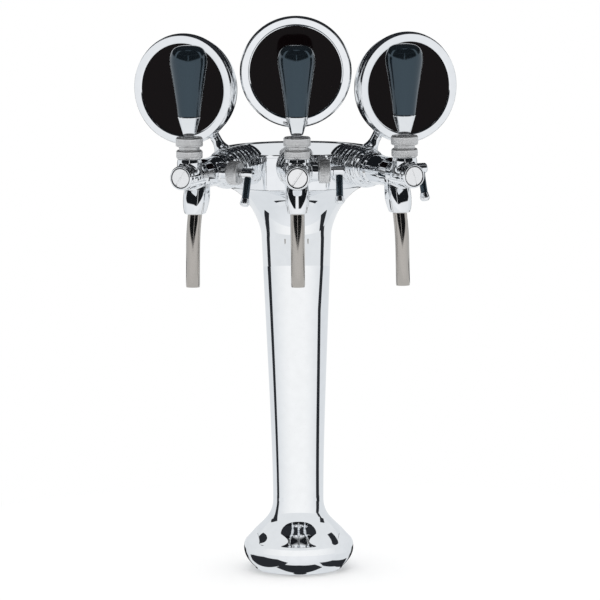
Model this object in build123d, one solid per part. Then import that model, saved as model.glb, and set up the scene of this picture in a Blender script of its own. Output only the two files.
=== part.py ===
"""Three-tap beer tower: a chromed trumpet column with three compensator taps and lit medallions.

Frame: millimetres, +Z up, the taps and medallions face -Y, the foot stands on z = 0 at the axis.
A tap is drawn in its own frame: +x runs forward along the shank, +y to the right of someone who
faces the tap, +z up, with the origin where the handle's axis meets the shank's axis.
"""
from build123d import *
from math import cos, radians, sin, tan
import os

os.makedirs("parts", exist_ok=True)

# ---------------------------------------------------------------- driving dimensions: the tower
FOOT_BASE_R = 46.0        # radius of the ring that stands on the bar
FOOT_MAX_R = 57.5         # widest part of the bulging foot
FOOT_MAX_Z = 22.0
FOOT_SHOULDER_Z = 43.0    # where the foot turns from bulging to hollow
FOOT_SHOULDER_OUT = 2.0   # how far the shoulder stands outside halfway to the waist
WAIST_R = 26.4
WAIST_Z = 74.0
SHAFT_R = 36.2            # column radius just under the trumpet
SHAFT_Z = 352.0
HEAD_R = 80.0             # radius of the drum that carries the taps
HEAD_BOTTOM_Z = 407.0
HEAD_TOP_Z = 440.4
COLUMN_WALL = 5.0
CAVITY_STEPS = 5          # points along each curve of the cavity
FRONT_FLAT_HALF = 31.0    # half width of the flat milled on the front of the drum
LID_THICK = 3.0
LID_EDGE = 1.2
LID_SPIGOT = 2.5
FOOT_GASKET_THICK = 2.0
FOOT_LIP = 3.0            # casting left round the anchor plate at the sole
ANCHOR_PLATE_THICK = 30.0
ANCHOR_BORE_R = 20.0
ANCHOR_PCD = 62.0
ANCHOR_HOLE_R = 4.2
ANCHOR_HOLE_COUNT = 3
PLATE_SCREW_EDGE = 6.0    # from the screws' circle out to the plate's edge
PLATE_SCREW_BACKING = 4.0  # from the screws' circle in to the hollow of the foot
PLATE_SCREW_R = 2.0
PLATE_SCREW_HEAD_R = 4.0
PLATE_SCREW_BITE = 9.0    # how far the plate's screws reach into the casting

# ---------------------------------------------------------------- driving dimensions: the bosses
TAP_AXIS_Z = 431.0        # height of the shanks above the bar
TAP_OUT_SIDE = 108.8      # from the drum's round wall out to an outer handle's axis
TAP_OUT_MIDDLE = 83.0
TAP_BEARING = 34.8        # degrees round the column from the middle tap to an outer handle
TAP_TURN = 26.0           # degrees that the outer taps are turned outwards
BOSS_R = 21.0
BOSS_LENGTH = 44.0
BOSS_FRONT = -85.0        # front face of the boss, measured from the handle's axis
SHANK_R = 10.0
SHANK_BORE_R = 4.5
SHANK_TAIL = 12.0         # length of the barbed tail behind the boss
SHANK_BARB_R = 5.9
SHANK_FLANGE_R = 12.6
SHANK_FLANGE_THICK = 4.0
SHANK_NUT_R = 13.0
SHANK_NUT_THICK = 7.0
NUT_RECESS_R = 14.2
NUT_RECESS_DEPTH = 9.0
LOCK_SCREW_R = 2.6
LOCK_SCREW_OUT = 4.5      # the lock screw stands out of the boss by this
LOCK_SCREW_LENGTH = 11.5
LOCK_SCREW_BACK = 13.0    # behind the plane of the stem
LOCK_SCREW_LEAN = 40.0    # degrees, outwards from straight down
STEM_PLANE = 9.5          # the medallion stem stands this far behind the boss's front face
STEM_LEAN = 31.0          # degrees that an outer stem leans outwards

# ---------------------------------------------------------------- driving dimensions: a tap
BARREL_R = 12.8
BARREL_FRONT = 14.0
CASTING_R = 14.6
CASTING_START = -24.0
CASTING_END = -66.0
INLET_R = 13.0
INLET_END = -80.0
CHAMBER_R = 8.0
CHAMBER_BACK = -20.0
THROAT_R = 6.15
THROAT_BACK = -31.0
REAR_CHAMBER_R = 9.0
CONE_BORE_START = -43.0
CONE_BORE_END = -68.0
CONE_BORE_END_R = 6.5
INLET_BORE_R = 5.0
NECK_R = 12.5             # upright neck under the bonnet ring
NECK_TOP = 18.0
PORT_R = 10.2
BALL_Z = 31.0             # centre of the lever's ball
BALL_R = 7.6
LEVER_ARM = 29.0          # from the ball's centre down to the lever's tip
LEVER_TIP_R = 2.9
LEVER_ARM_R = 1.7
LEVER_NECK_R = 4.6
LEVER_STUD_R = 3.8
LEVER_PULL = 20.0         # degrees of pull that open the valve
BONNET_R = 13.2
BONNET_TOP = 26.6
BONNET_HUB_R = 10.4       # hub that stands up into the collar
SEAT_DROP = 6.0           # the soft seat starts this far under the ball's centre
SEAT_HEIGHT = 3.0
COLLAR_R = 13.6
COLLAR_BOTTOM = 29.9
COLLAR_TOP = 39.6
COLLAR_MOUTH_R = 11.6
COLLAR_LIP_RISE = 3.6     # the lip over the ball, above the ball's centre
COLLAR_LIP_THICK = 1.6
FERRULE_BOTTOM = 41.2
FERRULE_TOP = 60.0
FERRULE_BOTTOM_R = 6.3
FERRULE_TOP_R = 11.4
GRIP_R = 18.9
GRIP_WIDE_Z = 117.5
GRIP_TOP = 131.5
CAP_R = 12.2
CAP_FRONT = 20.5
CAP_SEAL_THICK = 0.8
CAP_DISC_R = 9.6
CAP_SLOT = 1.4
CAP_SLOT_TURN = 40.0
OUTLET_TOP_X = -17.6      # outlet neck, at the height of OUTLET_TOP_Z
OUTLET_TOP_Z = -9.0
OUTLET_LEAN = 12.5        # degrees that the outlet leans forward on its way down
OUTLET_BOTTOM_Z = -39.0
OUTLET_TOP_WIDTH = 26.0
OUTLET_BOTTOM_WIDTH = 23.0
OUTLET_CORNER = 7.5
SPOUT_R = 7.1
SPOUT_WALL = 0.9
SPOUT_SOCKET = 13.0
SPOUT_BEND_Z = -62.0
SPOUT_END_Z = -112.5
SPOUT_END_LEAN = 1.5
SPOUT_BEND_RADIUS = 55.0
FLOW_X = -46.0            # flow control axis, behind the handle's axis
FLOW_BOSS_R = 10.5
FLOW_BOSS_END = 22.0
FLOW_NUT_R = 12.2
FLOW_NUT_END = 34.0
FLOW_SPINDLE_R = 3.5
FLOW_HUB_R = 5.4
FLOW_HUB_START = 37.0
FLOW_HUB_END = 49.0
FLOW_ROD_R = 3.6
FLOW_ROD_END_R = 5.0
FLOW_ROD_LENGTH = 34.0
FLOW_ROD_LEAN = 17.0
ECCENTRIC = 1.8
ECCENTRIC_PIN_R = 1.2
ECCENTRIC_PIN_START = 5.0
ECCENTRIC_PLAY = 0.45     # room each side of the pin, whose path is an arc
PISTON_STEM_R = 2.8
PISTON_GUIDE_HALF = 7.0
PISTON_HEAD_FRONT = -22.0
PISTON_HEAD_BACK = -30.0
PISTON_SEAL_FRONT = -25.2
PISTON_SEAL_BACK = -27.0
PISTON_SEAL_DEPTH = 1.0
CONE_GAP = 0.8            # annular gap that the beer is throttled through
CONE_FRONT = -42.6
CONE_BACK = -63.4

# ---------------------------------------------------------------- driving dimensions: a medallion
STEM_TOP_SIDE = 38.4      # from the boss's axis up to the rim of the housing
STEM_TOP_MIDDLE = 43.4
HOUSING_R = 54.6
HOUSING_BACK = -9.0
HOUSING_WALL = 2.2
BEZEL_LAP = 2.6           # the bezel stands out of the housing by this
BEZEL_BROAD = 10.4        # from the bezel's outer edge in to the face
BEZEL_FRONT = 16.0        # measured forwards from the stem's axis
BEZEL_DEPTH = 10.0
FACE_THICK = 3.0
FACE_SUNK = 2.0           # the face lies this far behind the bezel's front
LED_BOARD_GAP = 8.4       # ring of air between the lamp board and the housing's wall
LED_BOARD_THICK = 1.6
STEM_R = 5.3
STEM_FOOT_R = 8.4
STEM_SPIGOT_R = 3.9

# ---------------------------------------------------------------- driving dimensions: the lines
BEER_LINE_R = 4.7
COOLANT_LINE_R = 4.0
LINE_WALL = 1.2
LINE_RING_R = 14.0        # the beer lines stand on this circle inside the column
COOLANT_SIDE = 13.0
COOLANT_BACK = 4.0
COOLANT_TOP_Z = 345.0

# ---------------------------------------------------------------- clearances
SLIP = 0.05               # radial room of a shaft that turns or slides in its bore
LOOSE = 0.3               # room round a piece that is only placed
SEAT_GAP = 0.1

SIDES = {"left": -1, "middle": 0, "right": 1}


# ---------------------------------------------------------------- helpers
def turned_z(points):
    """Solid of revolution about Z of a closed (radius, height) outline."""
    return revolve(Plane.XZ * make_face(Polyline(*points, close=True)), Axis.Z, 360)


def turned_x(points):
    """Solid of revolution about X of a closed (along, radius) outline."""
    return revolve(Plane.XZ * make_face(Polyline(*points, close=True)), Axis.X, 360)


def turned_y(points):
    """Solid of revolution about Y of a closed (along, radius) outline."""
    return revolve(Plane.YZ * make_face(Polyline(*points, close=True)), Axis.Y, 360)


def rod_x(radius, start, end):
    """Round bar along X."""
    return turned_x([(start, 0), (end, 0), (end, radius), (start, radius)])


def rod_y(radius, start, end):
    """Round bar along Y."""
    return turned_y([(start, 0), (end, 0), (end, radius), (start, radius)])


def rod_z(radius, bottom, top):
    """Round bar along Z."""
    return turned_z([(0, bottom), (radius, bottom), (radius, top), (0, top)])


def ring_z(outer, inner, bottom, top):
    """Plain ring about Z."""
    return turned_z([(inner, bottom), (outer, bottom), (outer, top), (inner, top)])


def ring_x(outer, inner, start, end):
    """Plain ring about X."""
    return turned_x([(start, inner), (end, inner), (end, outer), (start, outer)])


def tap_place(side):
    """Where a tap's own frame stands on the tower."""
    turn = SIDES[side]
    reach = HEAD_R + (TAP_OUT_SIDE if turn else TAP_OUT_MIDDLE)
    bearing = radians(turn * TAP_BEARING)
    return Location((reach * sin(bearing), -reach * cos(bearing), TAP_AXIS_Z), (0, 0, turn * TAP_TURN - 90))


def medallion_place(side):
    """Where a medallion's own frame stands: its z runs up the stem from the boss's axis."""
    lean = Location((BOSS_FRONT - STEM_PLANE, 0, 0), (-SIDES[side] * STEM_LEAN, 0, 0))
    return tap_place(side) * lean


def on_each_side(shape, place=tap_place):
    """The same piece at all three taps, kept as three separate solids."""
    return Compound(children=[place(side) * shape for side in SIDES])


def outlet_x(z):
    """Centre line of the leaning outlet at height z."""
    return OUTLET_TOP_X + (OUTLET_TOP_Z - z) * tan(radians(OUTLET_LEAN))


# ---------------------------------------------------------------- the tower
def bend(start, start_way, start_pull, end, end_way, end_pull):
    """Smooth curve that leaves start and reaches end along two given directions."""
    first = Vector(*start) + Vector(*start_way).normalized() * start_pull
    last = Vector(*end) - Vector(*end_way).normalized() * end_pull
    return Bezier(start, first, last, end)


def column_outline():
    """The column's outer trumpet as radius and height, from the foot up to the drum's lower edge."""
    sole, belly = (FOOT_BASE_R, FOOT_GASKET_THICK), (FOOT_MAX_R, FOOT_MAX_Z)
    shoulder = ((FOOT_MAX_R + WAIST_R) / 2 + FOOT_SHOULDER_OUT, FOOT_SHOULDER_Z)
    waist, shaft, rim = (WAIST_R, WAIST_Z), (SHAFT_R, SHAFT_Z), (HEAD_R, HEAD_BOTTOM_Z)
    rise, under, inwards, up_shaft, out = (0, 1), (0.75, 0.66), (-0.72, 0.69), (0.04, 1.0), (0.985, 0.17)
    bowl, flank = FOOT_MAX_Z - FOOT_GASKET_THICK, FOOT_SHOULDER_Z - FOOT_MAX_Z
    swell, straight, trumpet = WAIST_Z - FOOT_SHOULDER_Z, SHAFT_Z - WAIST_Z, HEAD_BOTTOM_Z - SHAFT_Z
    return [
        bend(sole, under, 0.35 * bowl, belly, rise, 0.45 * bowl),
        bend(belly, rise, 0.55 * flank, shoulder, inwards, 0.35 * flank),
        bend(shoulder, inwards, 0.44 * swell, waist, rise, 0.5 * swell),
        bend(waist, rise, 0.22 * straight, shaft, up_shaft, 0.36 * straight),
        bend(shaft, up_shaft, 0.25 * trumpet, rim, out, 0.55 * trumpet),
    ]


def trumpet_solid(outline):
    """Solid of revolution under the drum's top, out to an outline of radius and height."""
    start, end = outline[0] @ 0, outline[-1] @ 1
    rim = Polyline((end.X, end.Y), (end.X, HEAD_TOP_Z), (0, HEAD_TOP_Z), (0, 0), (start.X, 0),
                   (start.X, start.Y))
    solid = revolve(Plane.XZ * make_face([*outline, rim]), Axis.Z, 360)
    return solid - rod_z(HEAD_R, -1, FOOT_GASKET_THICK)


def plate_screw_circle():
    """Radius of the circle that the anchor plate's screws stand on."""
    return FOOT_BASE_R - FOOT_LIP - PLATE_SCREW_EDGE


def column_cavity():
    """The hollow inside: the trumpet moved in by the wall, and the drum's own round room."""
    inner = []
    for curve in column_outline():
        for step in range(CAVITY_STEPS):
            place, along = curve @ (step / CAVITY_STEPS), curve % (step / CAVITY_STEPS)
            inner.append((place.X - COLUMN_WALL * along.Y, place.Y + COLUMN_WALL * along.X))
    place, along = column_outline()[-1] @ 1, column_outline()[-1] % 1
    inner.append((place.X - COLUMN_WALL * along.Y, place.Y + COLUMN_WALL * along.X))
    foot_room_r = plate_screw_circle() - PLATE_SCREW_BACKING
    room = rod_z(foot_room_r, 0, FOOT_SHOULDER_Z) + rod_z(HEAD_R - COLUMN_WALL, FOOT_SHOULDER_Z, HEAD_TOP_Z)
    return trumpet_solid([Spline(*inner)]) & room


def stem_socket():
    """Spot face and blind hole that a medallion stem screws into, in the medallion's frame."""
    flat = BOSS_R - 0.8
    return rod_z(STEM_FOOT_R + LOOSE, flat, flat + 12) + rod_z(STEM_SPIGOT_R + SEAT_GAP, flat - 8, flat)


def lock_screw(extra=0.0):
    """Grub screw that locks the stem, upright in a frame like the medallion's."""
    top = BOSS_R + LOCK_SCREW_OUT
    return rod_z(LOCK_SCREW_R + extra, top - LOCK_SCREW_LENGTH, top)


def lock_screw_place(side):
    """Under the boss: down, and outwards on the outer two."""
    lean = Location((BOSS_FRONT - STEM_PLANE - LOCK_SCREW_BACK, 0, 0),
                    (180 + SIDES[side] * LOCK_SCREW_LEAN, 0, 0))
    return tap_place(side) * lean


def flat_depth():
    """Distance of the front flat from the column's axis."""
    return (HEAD_R ** 2 - FRONT_FLAT_HALF ** 2) ** 0.5


def front_cutter(bottom, top):
    """Block in front of the flat, between two heights."""
    block = Box(2 * HEAD_R, HEAD_R, top - bottom, align=(Align.CENTER, Align.MAX, Align.MIN))
    return Pos(0, -flat_depth(), bottom) * block


def make_column_shell():
    """Cast column: trumpet, drum, three bosses, one front flat, all bored for the shanks."""
    shell = trumpet_solid(column_outline()) - column_cavity()
    depth = flat_depth()
    pad = Box(2 * FRONT_FLAT_HALF - 6, HEAD_R - depth + COLUMN_WALL, HEAD_TOP_Z - HEAD_BOTTOM_Z - 4,
              align=(Align.CENTER, Align.MIN, Align.MIN))
    shell += Pos(0, -depth, HEAD_BOTTOM_Z + 2) * pad
    for side in SIDES:
        shell += tap_place(side) * rod_x(BOSS_R, BOSS_FRONT - BOSS_LENGTH, BOSS_FRONT)
    front = front_cutter(HEAD_BOTTOM_Z, HEAD_TOP_Z + 1)
    shell -= front - tap_place("middle") * rod_x(BOSS_R, BOSS_FRONT - BOSS_LENGTH, BOSS_FRONT)
    for side in SIDES:
        back = BOSS_FRONT - BOSS_LENGTH
        shell -= tap_place(side) * rod_x(SHANK_R + SEAT_GAP, back - 1, BOSS_FRONT + 1)
        shell -= tap_place(side) * rod_x(NUT_RECESS_R, back - 1, back + NUT_RECESS_DEPTH)
        shell -= medallion_place(side) * stem_socket()
        shell -= lock_screw_place(side) * lock_screw(SEAT_GAP)
    plate_top = FOOT_GASKET_THICK + ANCHOR_PLATE_THICK
    shell -= rod_z(FOOT_BASE_R - FOOT_LIP + SEAT_GAP, 0, plate_top)
    for spot in around(ANCHOR_HOLE_COUNT, plate_screw_circle(), 30):
        shell -= spot * rod_z(PLATE_SCREW_R + SEAT_GAP, plate_top - 1, plate_top + PLATE_SCREW_BITE + 1)
    return shell


def boss_clearance(extra):
    """The three bosses, a little larger, to notch what sits round them."""
    tools = [tap_place(side) * rod_x(BOSS_R + extra, BOSS_FRONT - BOSS_LENGTH - extra, BOSS_FRONT + 5)
             for side in SIDES]
    return tools[0] + tools[1] + tools[2]


def make_head_lid():
    """Turned lid with a soft edge and a spigot, notched round the bosses and flat in front."""
    top = HEAD_TOP_Z + LID_THICK
    spigot_r = HEAD_R - COLUMN_WALL - LOOSE
    lid = turned_z([
        (0, HEAD_TOP_Z), (spigot_r - 3, HEAD_TOP_Z), (spigot_r - 3, HEAD_TOP_Z - LID_SPIGOT),
        (spigot_r, HEAD_TOP_Z - LID_SPIGOT), (spigot_r, HEAD_TOP_Z),
        (HEAD_R, HEAD_TOP_Z), (HEAD_R, top - LID_EDGE), (HEAD_R - LID_EDGE, top), (0, top),
    ])
    lid -= front_cutter(HEAD_TOP_Z - LID_SPIGOT - 1, top + 1)
    pad_depth = HEAD_R - flat_depth() + COLUMN_WALL
    under = Box(2 * FRONT_FLAT_HALF - 6 + 2 * LOOSE, pad_depth + LOOSE, LID_SPIGOT,
                align=(Align.CENTER, Align.MIN, Align.MAX))
    lid -= Pos(0, -flat_depth(), HEAD_TOP_Z) * under
    return lid - boss_clearance(LOOSE)


def around(count, radius, turn=0.0):
    """Evenly spaced places on a circle about the column's axis."""
    return PolarLocations(radius, count, start_angle=turn)


def plate_screw(extra=0.0):
    """Countersunk screw, head down, that holds the anchor plate up in the casting."""
    bottom, head = FOOT_GASKET_THICK, PLATE_SCREW_HEAD_R + extra
    thread = PLATE_SCREW_R + extra
    top = bottom + ANCHOR_PLATE_THICK + PLATE_SCREW_BITE
    return turned_z([(0, bottom), (head, bottom), (thread, bottom + head - thread), (thread, top), (0, top)])


def make_anchor_plate():
    """Steel plate in the foot: threaded holes for the studs that clamp the tower to the bar."""
    bottom = FOOT_GASKET_THICK
    plate = ring_z(FOOT_BASE_R - FOOT_LIP, ANCHOR_BORE_R, bottom, bottom + ANCHOR_PLATE_THICK)
    for spot in around(ANCHOR_HOLE_COUNT, ANCHOR_PCD / 2, 90):
        plate -= spot * rod_z(ANCHOR_HOLE_R, bottom - 1, bottom + ANCHOR_PLATE_THICK + 1)
    for spot in around(ANCHOR_HOLE_COUNT, plate_screw_circle(), 30):
        plate -= spot * plate_screw(SEAT_GAP)
    return plate


def make_plate_screws():
    """The three screws of the anchor plate."""
    return Compound(children=[spot * plate_screw()
                              for spot in around(ANCHOR_HOLE_COUNT, plate_screw_circle(), 30)])


def make_foot_gasket():
    """Rubber ring between the foot and the bar, cut out over the threaded holes."""
    gasket = ring_z(FOOT_BASE_R - 0.5, ANCHOR_BORE_R + 2, 0, FOOT_GASKET_THICK)
    for spot in around(ANCHOR_HOLE_COUNT, ANCHOR_PCD / 2, 90):
        gasket -= spot * rod_z(ANCHOR_HOLE_R + 1, -1, FOOT_GASKET_THICK + 1)
    return gasket


# ---------------------------------------------------------------- the shank and its fixings
def make_shank():
    """Bored shank: flange against the boss, thread through it, tail for the beer line."""
    shoulder = BOSS_FRONT - BOSS_LENGTH + 1.0
    back = BOSS_FRONT - BOSS_LENGTH - SHANK_TAIL
    front = BOSS_FRONT + SHANK_FLANGE_THICK
    return turned_x([
        (back, SHANK_BORE_R), (back, SHANK_BARB_R - 1.0), (back + 3, SHANK_BARB_R),
        (back + 3, SHANK_BARB_R - 0.7), (back + 7, SHANK_BARB_R), (back + 7, SHANK_BARB_R - 0.7),
        (shoulder, SHANK_BARB_R - 0.7), (shoulder, SHANK_R), (BOSS_FRONT, SHANK_R),
        (BOSS_FRONT, SHANK_FLANGE_R), (front, SHANK_FLANGE_R), (front, SHANK_BORE_R),
    ])


def make_shank_nut():
    """Hexagon nut that pulls the shank tight from inside the drum."""
    back = BOSS_FRONT - BOSS_LENGTH + NUT_RECESS_DEPTH - SHANK_NUT_THICK
    hexagon = Plane.YZ * RegularPolygon(SHANK_NUT_R, 6, major_radius=True)
    nut = Pos(back, 0, 0) * extrude(hexagon, SHANK_NUT_THICK)
    return nut - rod_x(SHANK_R + SEAT_GAP, back - 1, back + SHANK_NUT_THICK + 1)


def make_inlet_seal():
    """Rubber washer between the shank's flange and the tap's inlet."""
    return ring_x(INLET_R - 0.5, SHANK_BORE_R + 1, BOSS_FRONT + SHANK_FLANGE_THICK, INLET_END)


def make_coupling_ring():
    """Stepped ring that clamps the tap's inlet against the shank's flange."""
    front = CASTING_END - 4
    bore = INLET_R + SEAT_GAP
    return turned_x([
        (BOSS_FRONT, bore), (BOSS_FRONT, BOSS_R), (BOSS_FRONT + 3.4, BOSS_R),
        (BOSS_FRONT + 4.2, BOSS_R - 1.2), (BOSS_FRONT + 5.2, BOSS_R - 1.2),
        (BOSS_FRONT + 6.0, BOSS_R - 0.6), (BOSS_FRONT + 8.6, BOSS_R - 1.4),
        (BOSS_FRONT + 9.4, BOSS_R - 3.0), (BOSS_FRONT + 11.0, BOSS_R - 3.0),
        (front - 1.0, BOSS_R - 4.2), (front, BOSS_R - 5.0), (front, bore),
    ])


# ---------------------------------------------------------------- the tap's fixed pieces
def outlet_block():
    """Leaning outlet neck: a rounded square that narrows on its way down."""
    top = Pos(outlet_x(OUTLET_TOP_Z), 0, OUTLET_TOP_Z) * RectangleRounded(
        OUTLET_TOP_WIDTH, OUTLET_TOP_WIDTH - 1, OUTLET_CORNER)
    bottom = Pos(outlet_x(OUTLET_BOTTOM_Z), 0, OUTLET_BOTTOM_Z) * RectangleRounded(
        OUTLET_BOTTOM_WIDTH, OUTLET_BOTTOM_WIDTH, OUTLET_CORNER)
    return loft([top, bottom])


def leaning_rod(radius, start_z, end_z):
    """Round bar along the outlet's leaning centre line, between two heights."""
    start = Vector(outlet_x(start_z), 0, start_z)
    end = Vector(outlet_x(end_z), 0, end_z)
    line = Line(start, end)
    return sweep(Plane(start, z_dir=end - start) * Circle(radius), path=line)


def make_tap_body():
    """Chromed brass casting with valve chamber, compensator bore, neck, outlet and flow boss."""
    body = turned_x([
        (INLET_END, 0), (INLET_END, INLET_R), (CASTING_END - 4, INLET_R), (CASTING_END - 4, CASTING_R),
        (CASTING_END, CASTING_R + 1.6), (CASTING_END + 4, CASTING_R + 1.6), (CASTING_END + 7, CASTING_R),
        (CASTING_START - 4, CASTING_R), (CASTING_START + 3, BARREL_R), (BARREL_FRONT, BARREL_R),
        (BARREL_FRONT, 0),
    ])
    body += turned_z([
        (0, 0), (NECK_R, 0), (NECK_R, NECK_TOP - 4), (NECK_R - 1.0, NECK_TOP), (0, NECK_TOP),
    ])
    body += outlet_block()
    body += Pos(FLOW_X, 0, 0) * turned_y([
        (0, 0), (0, FLOW_BOSS_R + 1), (FLOW_BOSS_END - 8, FLOW_BOSS_R),
        (FLOW_BOSS_END, FLOW_BOSS_R - 0.8), (FLOW_BOSS_END, 0),
    ])
    body -= turned_x([
        (BARREL_FRONT + 1, 0), (BARREL_FRONT + 1, CHAMBER_R), (CHAMBER_BACK, CHAMBER_R),
        (CHAMBER_BACK, THROAT_R), (THROAT_BACK, THROAT_R), (THROAT_BACK, REAR_CHAMBER_R),
        (CONE_BORE_START, REAR_CHAMBER_R), (CONE_BORE_END, CONE_BORE_END_R),
        (CONE_BORE_END, INLET_BORE_R), (INLET_END - 1, INLET_BORE_R), (INLET_END - 1, 0),
    ])
    port_floor = CHAMBER_R + 2.0
    slot_back = -(BALL_Z - CHAMBER_R) * sin(radians(LEVER_PULL)) - LEVER_TIP_R - 1.0
    slot = Box(PISTON_GUIDE_HALF - slot_back, 2 * (LEVER_TIP_R + 1.6), port_floor + 0.5,
               align=(Align.MIN, Align.CENTER, Align.MIN))
    body -= Pos(slot_back, 0, 0) * slot
    body -= rod_z(PORT_R, port_floor, NECK_TOP + 1)
    body -= leaning_rod(SPOUT_R - SPOUT_WALL, -3, OUTLET_BOTTOM_Z - 2)
    body -= leaning_rod(SPOUT_R + SEAT_GAP, OUTLET_BOTTOM_Z + SPOUT_SOCKET, OUTLET_BOTTOM_Z - 2)
    body -= Pos(FLOW_X, 0, 0) * rod_y(FLOW_SPINDLE_R + SLIP, 0, FLOW_BOSS_END + 1)
    return body


def make_cap_seal():
    """Rubber washer under the front cap."""
    return ring_x(CAP_R - 0.6, CHAMBER_R, BARREL_FRONT, BARREL_FRONT + CAP_SEAL_THICK)


def make_front_cap():
    """Slotted plug that closes the front of the valve chamber."""
    spigot, seat = CHAMBER_R - SEAT_GAP, BARREL_FRONT + CAP_SEAL_THICK
    groove = CAP_FRONT - 2.2
    cap = turned_x([
        (BARREL_FRONT - 1.8, 0), (BARREL_FRONT - 1.8, spigot), (seat, spigot), (seat, CAP_R),
        (CAP_FRONT - 1.6, CAP_R), (CAP_FRONT - 0.5, CAP_R - 0.5), (CAP_FRONT, CAP_R - 1.4),
        (CAP_FRONT, CAP_DISC_R + 0.8), (groove, CAP_DISC_R + 0.6), (groove, CAP_DISC_R),
        (CAP_FRONT - 0.4, CAP_DISC_R - 0.2), (CAP_FRONT, CAP_DISC_R - 0.8), (CAP_FRONT, 0),
    ])
    slot = Box(1.0, CAP_SLOT, 2 * CAP_DISC_R - 3, align=(Align.MAX, Align.CENTER, Align.CENTER))
    return cap - Pos(CAP_FRONT, 0, 0) * Rot(-CAP_SLOT_TURN, 0, 0) * slot


def make_bonnet_ring():
    """Knurled ring that screws on the neck and carries the ball's lower seat."""
    seat_floor = BALL_Z - SEAT_DROP
    bore = PORT_R - 1.4
    return turned_z([
        (bore, NECK_TOP), (BONNET_R - 0.9, NECK_TOP), (BONNET_R, NECK_TOP + 0.9),
        (BONNET_R, BONNET_TOP - 1.2), (BONNET_R - 1.2, BONNET_TOP), (BONNET_HUB_R, BONNET_TOP),
        (BONNET_HUB_R, COLLAR_BOTTOM), (BALL_R + 1.0, COLLAR_BOTTOM), (BALL_R + 1.0, seat_floor),
        (bore, seat_floor),
    ])


def make_ball_seat():
    """Soft ring under the lever's ball that keeps the beer in."""
    bottom, outer = BALL_Z - SEAT_DROP, BALL_R + 1.0 - SEAT_GAP
    low = (BALL_R ** 2 - SEAT_DROP ** 2) ** 0.5 + LOOSE
    high = (BALL_R ** 2 - (SEAT_DROP - SEAT_HEIGHT) ** 2) ** 0.5 + LOOSE
    return turned_z([(low + 1.0, bottom), (outer, bottom), (outer, bottom + SEAT_HEIGHT),
                     (high, bottom + SEAT_HEIGHT)])


def make_collar_nut():
    """Knurled collar that holds the ball down; its mouth leaves the handle room to tilt."""
    lip = BALL_Z + COLLAR_LIP_RISE
    lip_r, bore = BALL_R - 0.5, BALL_R + 0.4
    return turned_z([
        (bore, COLLAR_BOTTOM), (COLLAR_R - 1.0, COLLAR_BOTTOM), (COLLAR_R, COLLAR_BOTTOM + 1.0),
        (COLLAR_R, COLLAR_TOP - 1.2), (COLLAR_R - 1.2, COLLAR_TOP), (COLLAR_MOUTH_R, COLLAR_TOP),
        (COLLAR_MOUTH_R - 1.2, lip + COLLAR_LIP_THICK), (lip_r, lip + COLLAR_LIP_THICK), (lip_r, lip),
        (bore, lip - COLLAR_LIP_THICK),
    ])


def make_spout():
    """Bent stainless tube pushed up into the outlet neck."""
    start_z = OUTLET_BOTTOM_Z + SPOUT_SOCKET - 0.5
    end_x = outlet_x(SPOUT_BEND_Z) + (SPOUT_BEND_Z - SPOUT_END_Z) * sin(radians(SPOUT_END_LEAN))
    start = (outlet_x(start_z), 0, start_z)
    route = FilletPolyline(start, (outlet_x(SPOUT_BEND_Z), 0, SPOUT_BEND_Z), (end_x, 0, SPOUT_END_Z),
                           radius=SPOUT_BEND_RADIUS)
    section = Plane(start, z_dir=route % 0)
    tube = sweep(section * Circle(SPOUT_R), path=route)
    return tube - sweep(section * Circle(SPOUT_R - SPOUT_WALL), path=route)


# ---------------------------------------------------------------- the tap's moving pieces
def make_tap_lever():
    """Steel lever: stud in the handle, ball in the collar, arm and tip down in the piston."""
    tip_z = BALL_Z - LEVER_ARM
    stud_top = FERRULE_TOP - 4
    rod = turned_z([
        (0, tip_z), (LEVER_ARM_R, tip_z), (LEVER_ARM_R, CHAMBER_R + 2), (2.7, BALL_Z - BALL_R + 1),
        (LEVER_NECK_R, BALL_Z), (LEVER_NECK_R, FERRULE_BOTTOM), (LEVER_STUD_R, FERRULE_BOTTOM),
        (LEVER_STUD_R, stud_top), (0, stud_top),
    ])
    return rod + Pos(0, 0, BALL_Z) * Sphere(BALL_R) + Pos(0, 0, tip_z) * Sphere(LEVER_TIP_R)


def make_ferrule():
    """Chromed cone under the grip, screwed on the lever's stud."""
    stud = LEVER_STUD_R + SEAT_GAP
    return turned_z([
        (stud, FERRULE_BOTTOM), (FERRULE_BOTTOM_R - 0.5, FERRULE_BOTTOM),
        (FERRULE_BOTTOM_R, FERRULE_BOTTOM + 0.8), (FERRULE_TOP_R, FERRULE_TOP - 1.0),
        (FERRULE_TOP_R - 0.4, FERRULE_TOP), (stud, FERRULE_TOP),
    ])


def make_grip():
    """Pear-shaped black handle, widest near its rounded top."""
    side = Spline(
        (FERRULE_TOP_R - 0.2, FERRULE_TOP), (12.6, FERRULE_TOP + 14), (15.6, FERRULE_TOP + 34),
        (GRIP_R, GRIP_WIDE_Z), (13.4, GRIP_TOP - 3.2), (0, GRIP_TOP),
        tangents=((0.05, 1.0), (-1.0, 0.0)),
    )
    rest = Polyline((0, GRIP_TOP), (0, FERRULE_TOP), (FERRULE_TOP_R - 0.2, FERRULE_TOP))
    return revolve(Plane.XZ * make_face(Wire([side, *rest.edges()])), Axis.Z, 360)


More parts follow.
